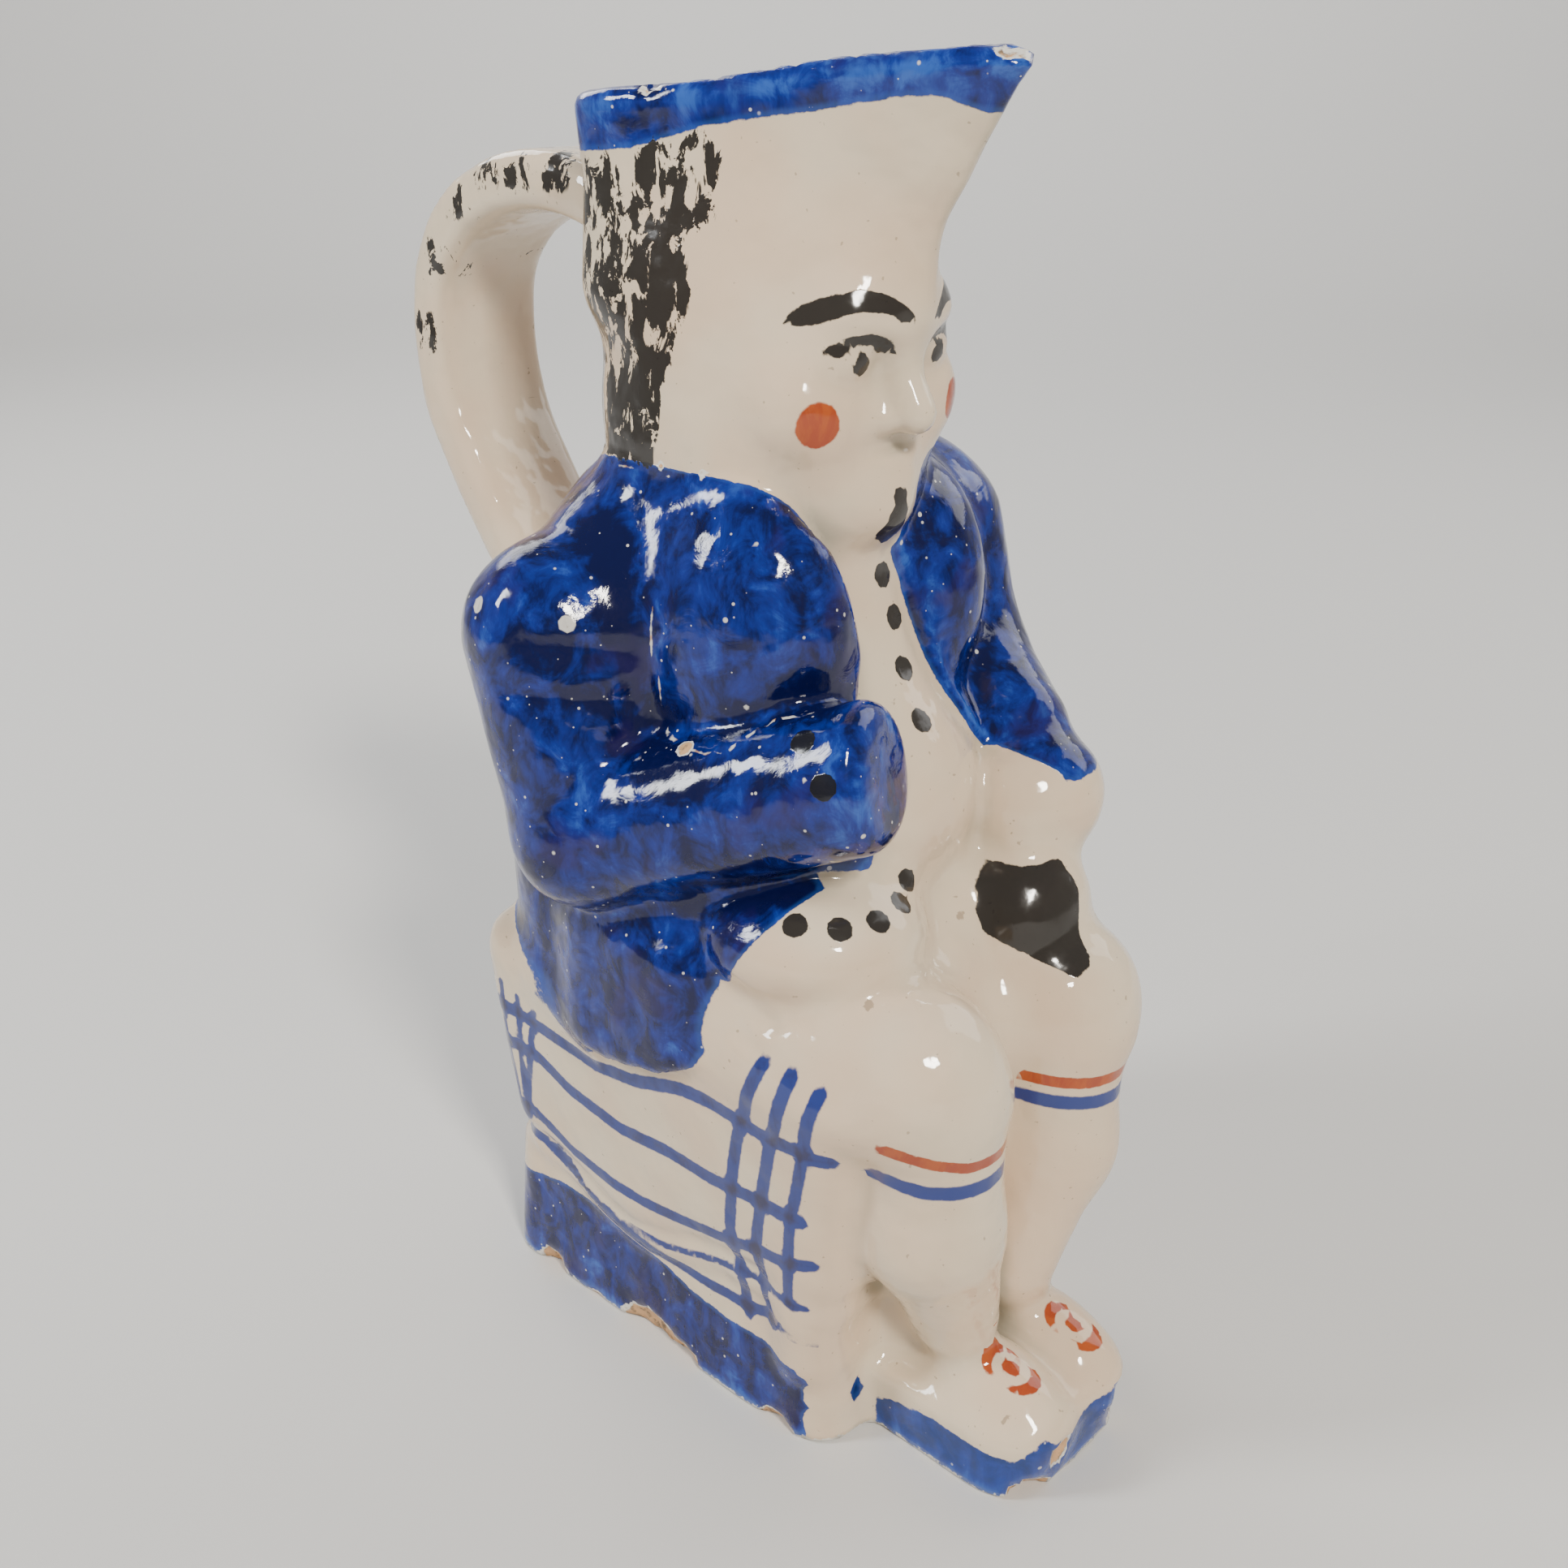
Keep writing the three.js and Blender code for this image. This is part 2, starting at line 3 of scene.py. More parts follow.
import bpy
import numpy as np
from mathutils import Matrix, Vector


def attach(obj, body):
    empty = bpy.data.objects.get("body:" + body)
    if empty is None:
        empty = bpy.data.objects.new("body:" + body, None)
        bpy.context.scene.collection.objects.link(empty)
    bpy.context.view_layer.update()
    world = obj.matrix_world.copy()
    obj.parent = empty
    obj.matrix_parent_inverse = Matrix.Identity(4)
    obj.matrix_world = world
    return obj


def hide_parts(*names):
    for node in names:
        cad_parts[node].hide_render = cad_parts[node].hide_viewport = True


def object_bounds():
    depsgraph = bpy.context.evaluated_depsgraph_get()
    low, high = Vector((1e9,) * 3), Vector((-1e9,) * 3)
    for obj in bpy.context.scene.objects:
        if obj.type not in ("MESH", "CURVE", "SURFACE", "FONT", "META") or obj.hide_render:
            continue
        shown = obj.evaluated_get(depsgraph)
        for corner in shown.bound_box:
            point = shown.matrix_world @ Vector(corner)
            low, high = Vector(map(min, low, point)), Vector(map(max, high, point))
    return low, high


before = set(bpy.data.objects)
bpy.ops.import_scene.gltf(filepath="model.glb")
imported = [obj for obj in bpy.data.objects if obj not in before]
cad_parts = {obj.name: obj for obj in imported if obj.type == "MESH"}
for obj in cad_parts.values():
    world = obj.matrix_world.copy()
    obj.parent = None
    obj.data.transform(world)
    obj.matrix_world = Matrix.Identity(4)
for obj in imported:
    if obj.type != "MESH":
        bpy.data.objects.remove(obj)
cad_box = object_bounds()

# The jug's sizes, in millimetres like every length below until a mesh is made.
# Places given in plain numbers are for a jug 300 high, and U scales them
MM = 0.001
HEIGHT = (cad_box[1][2] - cad_box[0][2]) / MM
U = HEIGHT / 300
WALL = 6
LIP_WALL = 4.8
FLOOR = 8
BASE_WIDTH = 89
BASE_DEPTH = 118
BASE_HEIGHT = 37
BASE_FLARE = 0.05
SEAT_WIDTH = 95
SEAT_DEPTH = 117
SEAT_TOP = 106
SEAT_FLARE = -0.08
TOE_BLOCK_WIDTH = 46
TOE_BLOCK_HEIGHT = 17
TOE_BLOCK_FRONT = 102
HAT_BACK_WIDTH = 66
SPOUT_REACH = 68
HAT_BACK = 28
HANDLE_WIDTH = 32
HANDLE_THICKNESS = 13
HANDLE_REACH = 101

# The sampled cell's size, and how many cells one coarse block has along a side
CELL = 1.9
BLOCK = 4


# Signed distances: negative inside. Each form takes three arrays of coordinates
def mix(a, b, t):
    return a + (b - a) * t


def ease(low, high, v):
    t = np.clip((v - low) / (high - low), 0, 1)
    return t * t * (3 - 2 * t)


def blend_min(a, b, k):
    h = np.maximum(k - np.abs(a - b), 0) / k
    return np.minimum(a, b) - h * h * k / 4


def blend_max(a, b, k):
    return -blend_min(-a, -b, k)


def length(a, b, c=0):
    return np.sqrt(a * a + b * b + c * c)


def ball(x, y, z, rx, ry, rz, tilt=0):
    """An ellipsoid, turned about X by tilt degrees."""
    c, s = math.cos(math.radians(tilt)), math.sin(math.radians(tilt))

    def form(px, py, pz):
        dx = px - x * U
        dy = (py - y * U) * c + (pz - z * U) * s
        dz = (pz - z * U) * c - (py - y * U) * s
        near = length(dx / (rx * U), dy / (ry * U), dz / (rz * U))
        slope = length(dx / (rx * U) ** 2, dy / (ry * U) ** 2, dz / (rz * U) ** 2)
        return near * (near - 1) / np.maximum(slope, 1e-6)

    return form


def limb(a, b, ra, rb):
    """A round limb from a to b, of radius ra at a and rb at b."""
    a, b = np.array(a) * U, np.array(b) * U
    run = b - a

    def form(px, py, pz):
        d = (px - a[0], py - a[1], pz - a[2])
        t = np.clip((d[0] * run[0] + d[1] * run[1] + d[2] * run[2]) / (run @ run), 0, 1)
        return length(*(d[n] - run[n] * t for n in range(3))) - mix(ra, rb, t) * U

    return form


def rounded(du, dv, edge):
    """Two crossing distances as one, with a rounded edge between them."""
    outer = length(np.maximum(du + edge, 0), np.maximum(dv + edge, 0))
    return outer + np.minimum(np.maximum(du, dv) + edge, 0) - edge


def block(x, y, width, depth, bottom, top, corner, edge, flare=0):
    """An upright block with rounded plan corners and rounded top and bottom edges."""
    middle, half = (bottom + top) / 2, (top - bottom) / 2

    def form(px, py, pz):
        grow = flare * (middle - pz)
        plan = rounded(np.abs(px - x) - width / 2 - grow, np.abs(py - y) - depth / 2 - grow, corner)
        return rounded(plan, np.abs(pz - middle) - half, edge)

    return form


def join(k, *forms):
    """Several forms as one, blended over a width of k where they meet."""

    def form(x, y, z):
        d = forms[0](x, y, z)
        for other in forms[1:]:
            d = blend_min(d, other(x, y, z), k)
        return d

    return form


def along(pairs, at):
    """A value that follows (at, value) pairs, straight between them."""
    places, values = zip(*pairs)
    return np.interp(at / U, places, values) * U


# The hat: a three-cornered funnel, wide behind and pointed in front
HAT_FOOT = 252 * U
HAT_FOOT_WIDTH = 58 * U
HAT_FOOT_BACK = 26.5 * U
SPOUT_FOOT = 33 * U
SPOUT_ROUND = 5 * U
RIM_DROP = 8 * U
RIM_WAVE = 0.5 * U
RIM_BLEND = 0.2 * U


def rim_height(x, y):
    """The rim falls towards the back, and waves a little."""
    t = np.clip((y + SPOUT_REACH - 12 * U) / (SPOUT_REACH + 8 * U), 0, 1)
    wave = RIM_WAVE * np.sin(y / (9 * U) + np.sign(x)) * ease(-SPOUT_REACH, -SPOUT_REACH / 2, y)
    return HEIGHT - RIM_DROP * t - RIM_BLEND - RIM_WAVE + wave


def hat(inset):
    """The hat's funnel, drawn in by inset."""

    def form(x, y, z):
        t = np.clip((z - HAT_FOOT) / (HEIGHT - HAT_FOOT), 0, 1.1)
        tip = -mix(SPOUT_FOOT, SPOUT_REACH, t**1.15) - 3 * SPOUT_ROUND
        rear = mix(HAT_FOOT_BACK, HAT_BACK, t)
        half = mix(HAT_FOOT_WIDTH, HAT_BACK_WIDTH, t) / 2
        slant = half + 7 * U
        side = ((rear - tip) * length(x, SPOUT_ROUND) + slant * (tip - y)) / length(slant, rear - tip)
        plan = blend_max(blend_max(side, y - rear, 14 * U), np.abs(x) - half, 10 * U)
        return blend_max(plan + inset, HAT_FOOT - z, 6 * U)

    return form


# Trunk and head
chest = ball(0, 3, 183, 38, 37, 38)
belly = ball(0, -7, 146, 41, 47, 36)
back = ball(0, 20, 168, 45, 30, 52)
skirts = block(0, 11 * U, 94 * U, 79 * U, 86 * U, 142 * U, 26 * U, 7 * U)
trunk = join(16 * U, chest, belly, back, skirts)
neck = limb([0, 4, 192], [0, 2, 224], 34, 32.5)
head = ball(0, -1, 240, 31, 37, 42)
right_shoulder = limb([-38, 18, 183], [-10, 8, 204], 19, 20.5)
left_shoulder = limb([42, 0, 198], [10, 8, 206], 19, 21.5)
shoulders = join(8 * U, right_shoulder, left_shoulder)
breast = join(6 * U, ball(-22, -17, 187, 18, 22, 30), ball(25, -13, 187, 18, 24, 30))

# The coat stands proud of the waistcoat: open in front, cut back below the arms
COAT = 2.4 * U
RIGHT_OPENING = [
    (150, 20), (164, 17), (174, 14), (184, 11), (196, 14), (206, 17), (215, 24), (220, 29), (224, 44),
]
LEFT_OPENING = [(152, 28), (159, 20), (172, 14), (188, 10), (206, 7), (216, 7), (222, 16), (226, 40)]
SKIRT_FRONT = [(86, 10), (87, -1), (91, -18), (98, -28), (107, -33), (122, -35), (137, -38), (150, -80)]

# The coat's front corners stand out over the seat
flap = block(0, -5 * U, 102 * U, 50 * U, 86 * U, 122 * U, 14 * U, 5 * U)
coat_body = join(7 * U, trunk, shoulders, breast, flap)


def coat(x, y, z):
    opening = np.where(x < 0, along(RIGHT_OPENING, z), along(LEFT_OPENING, z)) - np.abs(x)
    cut = blend_max(opening, along(SKIRT_FRONT, z) - y, 6 * U)
    return blend_max(coat_body(x, y, z) - COAT, cut, 2 * U)


waistcoat = join(8 * U, trunk, ball(-25, -38, 125, 24, 25, 15), ball(18, -42, 122, 22, 20, 12))

# Arms and hands
ELBOW = [-48, 7, 142]
upper_arm = limb([-45, 19, 184], ELBOW, 20.5, 17.5)
forearm = limb(ELBOW, [-27, -56, 166], 17.5, 15.5)
CUFF_FACE = (0.3, -0.95, 0.2)
CUFF_END = 73.6 * U


def right_arm(x, y, z):
    from_elbow = [(p - q * U) * share for p, q, share in zip((x, y, z), ELBOW, CUFF_FACE)]
    cuff_end = sum(from_elbow) - CUFF_END
    return blend_min(upper_arm(x, y, z), blend_max(forearm(x, y, z), cuff_end, 6 * U), 3 * U)


LEFT_ELBOW = [46, -18, 166]
left_arm = join(5 * U, limb([45, -8, 195], LEFT_ELBOW, 20, 17.5), limb(LEFT_ELBOW, [38, -42, 153], 17.5, 15))
left_cuff = ball(34, -52, 142, 18, 17, 16)
left_fist = ball(24, -59.5, 118, 17, 14.5, 16.5)
hands = join(7 * U, left_cuff, left_fist)
sleeves = join(4 * U, right_arm, left_arm)


# Legs and shoes
def leg(x, knee, ankle, toe):
    """One leg: x and height of the knee, then x of the ankle and of the toe."""
    thigh = limb([x, -16, knee + 6], [x, -68, knee], 23, 19.5)
    calf = limb([x * 0.9, -71, knee - 8], [x * 0.85, -71, 62], 16.5, 15.5)
    shin = limb([x * 0.85, -71, 62], [ankle, -74, 34], 15.5, 10)
    shoe = ball(toe, -84, 15, 12, 20, 12, 10)
    return join(6 * U, thigh, calf, shin, shoe)


legs = join(3 * U, leg(-26, 101, -15, -13), leg(26, 98, 7, 9))

# What the figure sits on: a draped seat, its base and the block under the toes
SEAT_MIDDLE = -5.5 * U
HEM_INSET = 7 * U
HEM_SAG = 9 * U


def sagging(form):
    """The form hanging lower round its hem along the middle of each side."""

    def at(x, y, z):
        sag = HEM_SAG * np.exp(-(((y / U - 3) / 21) ** 2))
        share = ease(8 * U, 26 * U, z) * (1 - ease(46 * U, 78 * U, z))
        return form(x, y, z + sag * share)

    return at


seat = sagging(
    block(0, SEAT_MIDDLE, SEAT_WIDTH, SEAT_DEPTH, BASE_HEIGHT, SEAT_TOP, 10 * U, 13 * U, SEAT_FLARE)
)
hem = sagging(
    block(
        0, SEAT_MIDDLE, SEAT_WIDTH - HEM_INSET, SEAT_DEPTH - HEM_INSET,
        BASE_HEIGHT - 1 * U, BASE_HEIGHT + 7 * U, 10 * U, 4 * U,
    )
)
base = sagging(
    block(0, -1 * U, BASE_WIDTH, BASE_DEPTH, -2 * BASE_HEIGHT, BASE_HEIGHT + 3 * U, 10 * U, 5 * U, BASE_FLARE)
)
toe_block = block(
    -4 * U, -TOE_BLOCK_FRONT / 2, TOE_BLOCK_WIDTH, TOE_BLOCK_FRONT,
    -BASE_HEIGHT, TOE_BLOCK_HEIGHT, 12 * U, 3 * U,
)

# Clay fills in behind the calves, between the thighs and down the seat's front corners
web = block(-2 * U, -SEAT_DEPTH / 2, 38 * U, 20 * U, -BASE_HEIGHT, SEAT_TOP, 8 * U, 6 * U)
lap = ball(0, -46, 108, 20, 18, 18)
corners = [limb([x, -50, 24], [x, -51, 62], 8, 9) for x in (-37, 37)]
furniture = join(5 * U, join(2 * U, seat, hem), base, toe_block, web, lap, *corners)

# The face keeps to even thirds between hairline, brow, nose and chin
BROW = 250
NOSE_BASE = 228.5
CHIN = 207
brow = limb([-12, -34, BROW + 1], [12, -34, BROW + 1], 4.5, 4.5)
nose = limb([0, -35, BROW - 3], [0, -41.5, NOSE_BASE + 4], 3.2, 4.6)


def pair(x, y, z, rx, ry, rz):
    """The same ellipsoid on both sides of the face."""
    return join(1 * U, ball(-x, y, z, rx, ry, rz), ball(x, y, z, rx, ry, rz))


nostrils = pair(4.4, -37, NOSE_BASE + 2.6, 3, 4, 2.8)
cheeks = pair(16, -27, 233, 11, 9, 10)
jaw = ball(0, -11, 217, 27, 25, 16)
chin = ball(0, -29, CHIN + 5, 9, 9, 7)
lips = join(1 * U, ball(0, -34.5, 222.4, 8, 4, 2.2), ball(0, -34, 218.4, 7, 4.2, 2.6))
sockets = pair(12, -41, 243, 8, 6, 5.5)
eyes = pair(12, -32.5, 243, 6.5, 5, 4.6)


def face(x, y, z):
    front = blend_min(join(9 * U, head, jaw)(x, y, z), cheeks(x, y, z), 8 * U)
    front = blend_min(front, join(2 * U, brow, chin)(x, y, z), 8 * U)
    front = blend_max(front, -sockets(x, y, z), 5 * U)
    front = blend_min(front, join(2 * U, nose, nostrils)(x, y, z), 4 * U)
    front = blend_min(front, join(1 * U, lips, eyes)(x, y, z), 2.5 * U)
    return np.where(y > 0, head(x, y, z), front)


# The strap handle runs in the plane x = 0
HANDLE_CORNER = 4.5 * U
HANDLE_POINTS = [
    (24, 264), (46, 272), (68, 272), (87, 264), (98, 250),
    (100, 233), (97, 217), (87, 199), (74, 182), (50, 160),
]


def smooth_path(points, count):
    """Evenly many points on a Catmull-Rom curve through the given ones."""
    p = np.array([points[0], *points, points[-1]], float)
    out = []
    for i in range(len(points) - 1):
        a, b, c, d = p[i : i + 4]
        for t in np.linspace(0, 1, count, endpoint=False):
            bend = 2 * a - 5 * b + 4 * c - d
            twist = 3 * b - a - 3 * c + d
            out.append(0.5 * (2 * b + (c - a) * t + bend * t**2 + twist * t**3))
    return np.array([*out, points[-1]])


handle_path = smooth_path([(y / 100 * HANDLE_REACH, z * U) for y, z in HANDLE_POINTS], 4)


def distance_to_path(path, u, v):
    """The distance in a plane from (u, v) to a line of points."""
    nearest = np.full(u.shape, 1e6)
    for a, b in zip(path[:-1], path[1:]):
        run = b - a
        t = np.clip(((u - a[0]) * run[0] + (v - a[1]) * run[1]) / (run @ run), 0, 1)
        nearest = np.minimum(nearest, (u - a[0] - run[0] * t) ** 2 + (v - a[1] - run[1] * t) ** 2)
    return np.sqrt(nearest)


def handle(x, y, z):
    """The strap, worked out only where y is above zero."""
    d = np.full(x.shape, float(HAT_BACK))
    near = y > 0
    across = distance_to_path(handle_path, y[near], z[near]) - HANDLE_THICKNESS / 2
    d[near] = rounded(across, np.abs(x[near]) - HANDLE_WIDTH / 2, HANDLE_CORNER)
    return d


# Broken glaze and clay along the foot and the rim: place, and radii
CHIPS = [
    (-46.5, 0, 0, 6, 13, 9.5),
    (-46, -10, 0, 5, 9, 6),
    (-46, 38, 0, 5, 6, 7),
    (-46, -44, -1, 5, 7, 6),
    (-46, 20, -1, 4, 6, 3.5),
    (-22, -101.5, 0, 7, 5, 5.5),
    (-12.5, -106, 9, 5.5, 4, 6),
    (13, -103, 8, 5, 5, 7),
    (-28.5, 4, 293.5, 3, 4, 3),
    (-4, -64.5, 301.5, 8, 6, 5),
    (1, -67.5, 298, 4, 3, 3),
    (46, 20, -1, 4, 10, 4),
    (20, 59, -1, 9, 4, 4),
]
chips = [ball(*chip) for chip in CHIPS]


def chipped(x, y, z):
    """The chips' hollows, with a rough break."""
    d = np.min([chip(x, y, z) for chip in chips], axis=0)
    return d + 0.35 * np.sin(x * 1.7 + z) * np.sin(y * 1.3 - z * 0.7)


hat_outside = hat(0)


def lumps(x, y, z):
    """The soft unevenness of a cast and hand-finished surface."""
    bent_x = x / 9.1 + 1.3 * np.sin(z / 13.7)
    bent_z = z / 8.9 + 1.1 * np.sin(x / 11.9)
    broad = np.sin(bent_x) * np.sin(y / 10.3 + 0.7) * np.sin(bent_z)
    close = np.sin((x + y) / 5.3 + 0.4) * np.sin((z - y) / 6.1) * np.sin((z + x) / 5.7)
    return 0.34 * broad + 0.16 * close


def gap_to(line, x, y, z):
    """The distance from a line of points in space."""
    gap = np.full(np.shape(x), 1e6)
    for start, end in zip(line[:-1], line[1:]):
        ax, ay, az = np.array(start) * U
        rx, ry, rz = np.subtract(end, start) * U
        reach = (x - ax) * rx + (y - ay) * ry + (z - az) * rz
        t = np.clip(reach / (rx * rx + ry * ry + rz * rz), 0, 1)
        gap = np.minimum(gap, length(x - ax - t * rx, y - ay - t * ry, z - az - t * rz))
    return gap


# Shallow folds at the right elbow and over the right thigh: depth and line of each
FOLD_WIDTH = 2.2 * U
FOLDS = [
    (1.0, [(-62.5, 9, 187.5), (-56.5, -0.5, 186.5), (-46.3, -3.3, 184.5)]),
    (1.0, [(-65, 11.5, 177), (-58, 0, 175.5), (-46.3, -4.6, 174)]),
    (0.9, [(-61.8, 3.2, 171), (-57, -4, 168.3), (-51.1, -5.4, 165.6)]),
    (1.1, [(-49, -36, 119), (-47, -42, 112), (-41, -50, 110)]),
    (0.8, [(-48, -38, 108), (-45, -47, 104), (-38, -57, 106)]),
]


def folds(x, y, z):
    return sum(depth * np.exp(-((gap_to(line, x, y, z) / FOLD_WIDTH) ** 2)) for depth, line in FOLDS)


def unbroken(x, y, z):
    """The whole jug from outside, before the chips."""
    person = blend_min(blend_min(coat(x, y, z), waistcoat(x, y, z), 3 * U), sleeves(x, y, z), 4 * U)
    person = blend_min(person, hands(x, y, z), 4 * U)
    lower = blend_min(legs(x, y, z), furniture(x, y, z), mix(5, 10, ease(76 * U, 98 * U, z)) * U)
    seated = blend_min(person, lower, 5 * U)
    headed = blend_min(seated, blend_min(neck(x, y, z), face(x, y, z), 8 * U), 5 * U)
    hatted = blend_min(headed, hat_outside(x, y, z), 16 * U)
    whole = blend_min(hatted, handle(x, y, z), 8 * U) + lumps(x, y, z) + folds(x, y, z)
    return blend_max(whole, z - rim_height(x, y), 4 * U)


def outside(x, y, z):
    """The jug from outside, chipped and cut flat underneath."""
    return np.maximum(blend_max(unbroken(x, y, z), -chipped(x, y, z), 0.6 * U), -z)


# The hollow follows the trunk, the head and the seat, not the limbs
hat_inside = hat(LIP_WALL)
seat_core = block(
    0, SEAT_MIDDLE + 0.5 * U, BASE_WIDTH - 4 * U, SEAT_DEPTH - 8 * U, -BASE_HEIGHT, SEAT_TOP, 14 * U, 9 * U
)
core = join(8 * U, trunk, neck, head, seat_core)


def hollow(x, y, z):
    below = blend_max(core(x, y, z) + WALL, FLOOR - z, 6 * U)
    return blend_min(below, hat_inside(x, y, z), 8 * U)


def jug_form(x, y, z):
    return blend_max(outside(x, y, z), -hollow(x, y, z), 2 * U)


# From forms to a mesh
def evaluate(form, points, chunk=200000):
    """A form's values at many points, a chunk at a time to save memory."""
    parts = [form(*points[i : i + chunk].T) for i in range(0, len(points), chunk)]
    return np.concatenate(parts)


def surface_of(form, low, high, cell):
    """A closed quad mesh of a form: one vertex in each cell that the surface crosses."""
    low = np.array(low, float)
    count = np.ceil((np.array(high) - low) / cell / BLOCK).astype(int) * BLOCK + 1

    # Only the cells near the surface are worked out: elsewhere a block takes its middle's value
    blocks = (count - 1) // BLOCK
    grid = np.stack(np.meshgrid(*(np.arange(n) for n in blocks), indexing="ij"), -1).reshape(-1, 3)
    there = evaluate(form, low + (grid + 0.5) * BLOCK * cell)
    value = np.repeat(np.repeat(np.repeat(there.reshape(blocks), BLOCK, 0), BLOCK, 1), BLOCK, 2)
    value = np.pad(value, ((0, 1), (0, 1), (0, 1)), mode="edge")
    steps = np.stack(np.meshgrid(*([np.arange(BLOCK + 1)] * 3), indexing="ij"), -1).reshape(1, -1, 3)
    close = grid[np.abs(there) < BLOCK * cell * 1.35]
    index = (close[:, None, :] * BLOCK + steps).reshape(-1, 3)
    flat = np.unique(np.ravel_multi_index(index.T, count))
    fine = np.stack(np.unravel_index(flat, count), -1)
    value.reshape(-1)[flat] = evaluate(form, low + fine * cell)

    inside = value < 0
    nx, ny, nz = count - 1
    cells = np.stack(
        [inside[i : i + nx, j : j + ny, k : k + nz] for i in (0, 1) for j in (0, 1) for k in (0, 1)]
    )
    mixed = cells.any(0) & ~cells.all(0)
    number = np.full(mixed.shape, -1)
    number[mixed] = np.arange(mixed.sum())
    at = np.argwhere(mixed)
    total = np.zeros((len(at), 3))
    crossings = np.zeros(len(at))
    for axis in range(3):
        step = np.eye(3, dtype=int)[axis]
        others = [n for n in range(3) if n != axis]
        for i in (0, 1):
            for j in (0, 1):
                corner = np.zeros(3, int)
                corner[others] = i, j
                a = value[tuple((at + corner).T)]
                b = value[tuple((at + corner + step).T)]
                cross = (a < 0) != (b < 0)
                t = np.where(cross, a / np.where(cross, a - b, 1), 0)
                total += cross[:, None] * (corner + step * t[:, None])
                crossings += cross
    points = low + (at + total / crossings[:, None]) * cell

    quads = []
    for axis in range(3):
        u = np.eye(3, dtype=int)[(axis + 1) % 3]
        v = np.eye(3, dtype=int)[(axis + 2) % 3]
        spans = [slice(1, None) if n != axis else slice(0, -1) for n in range(3)]
        here = inside[tuple(spans)]
        after = inside[1:, 1:, 1:]
        edge = np.argwhere(here != after) + np.array([0 if n == axis else 1 for n in range(3)])
        out = inside[tuple(edge.T)]
        around = [number[tuple((edge - shift).T)] for shift in (0 * u, u, u + v, v)]
        quad = np.stack(around, -1)
        quad[~out] = quad[~out][:, ::-1]
        quads.append(quad)
    return points, np.concatenate(quads)


def slope_of(form, points, e):
    """How a form's value changes along x, y and z, measured over a step of e."""
    sides = []
    for n in range(3):
        step = np.eye(3)[n] * e
        sides.append((evaluate(form, points + step) - evaluate(form, points - step)) / (2 * e))
    return np.stack(sides, -1)


def settle(form, points, cell, passes):
    """Moves points onto the form's surface."""
    for _ in range(passes):
        d = evaluate(form, points)
        g = slope_of(form, points, cell / 20)
        move = d[:, None] * g / np.maximum((g * g).sum(1), 0.05)[:, None]
        points = points - np.clip(move, -cell / 3, cell / 3)
    return points


def relax(points, quads, amount):
    """Moves each point towards the middle of its neighbours."""
    edges = np.concatenate([quads[:, [i, (i + 1) % 4]] for i in range(4)])
    total = np.zeros_like(points)
    count = np.zeros(len(points))
    np.add.at(total, edges[:, 0], points[edges[:, 1]])
    np.add.at(count, edges[:, 0], 1)
    return points + amount * (total / count[:, None] - points)


def make_shell():
    low = [-SEAT_WIDTH / 2 - 24, -TOE_BLOCK_FRONT - 8, -4.1]
    high = [SEAT_WIDTH / 2 + 24, HANDLE_REACH + HANDLE_THICKNESS + 4, HEIGHT + 4]
    points, quads = surface_of(jug_form, low, high, CELL)
    points = settle(jug_form, points, CELL, 1)
    for _ in range(2):
        points = relax(points, quads, 0.6)
        points = settle(jug_form, points, CELL, 1)
    return points, quads


points, quads = make_shell()

# Paint: each painted region is a distance kept on the mesh, positive inside, in millimetres
X, Y, Z = points.T
normals = slope_of(outside, points, 0.4)
normals /= np.linalg.norm(normals, axis=1)[:, None]
outer = outside(X, Y, Z) > -1.2
ABSENT = -9


def spots(places, r):
    """Round spots of radius r."""
    return np.max([r - length(X / U - x, Y / U - y, Z / U - z) for x, y, z in places], axis=0) * U


def stroke(line, half):
    """A brush stroke on the seat, through places along its side and up it."""
    return half - distance_to_path(np.array(line, float), side / U, Z / U)


def polygon(corners, u, v):
    """The distance inside a convex outline, whose corners run anticlockwise."""
    inside = np.full(u.shape, 1e6)
    for (ax, ay), (bx, by) in zip(corners, corners[1:] + corners[:1]):
        away = ((u - ax) * (ay - by) + (v - ay) * (bx - ax)) / math.hypot(bx - ax, by - ay)
        inside = np.minimum(inside, away)
    return inside


# Cobalt on the coat, up to its edges against the waistcoat, the neck and the hands
COAT_FOOT = 78 * U
parts = [waistcoat, neck, face, hands, legs, furniture, handle]
others = np.min([part(X, Y, Z) for part in parts], axis=0)
LEFT_CUFF = (32, -50, 157)
LEFT_CUFF_FACE = (0.2, 0.35, 0.9)
from_cuff = [(p - q * U) * share for p, q, share in zip((X, Y, Z), LEFT_CUFF, LEFT_CUFF_FACE)]
left_cuff_end = sum(from_cuff)
left_sleeve = np.minimum(others - left_arm(X, Y, Z), np.where(Y < -30 * U, left_cuff_end, 9))
right_sleeve = others - right_arm(X, Y, Z) + np.where((Y < -40 * U) & (X > -38 * U), 0.8, 0)
CUFF_HEM = CUFF_END - 4.2 * U
cuff_hem = CUFF_HEM - sum(p * share for p, share in zip((X, Y, Z), CUFF_FACE))
right_sleeve = np.where(Y < -30 * U, np.minimum(right_sleeve, cuff_hem), right_sleeve)
opening = np.where(X < 0, along(RIGHT_OPENING, Z), along(LEFT_OPENING, Z))
collar = np.min([np.abs(X) - opening, 222.5 * U - Z, Z - 150 * U], axis=0)
collar = np.min([collar, handle(X, Y, Z) - 3, face(X, Y, Z) + 3], axis=0)
front_corner = np.min([Y + 38 * U + 0.6 * (Z - 125 * U), Z - 118 * U, 142 * U - Z, -X - 30 * U], axis=0)
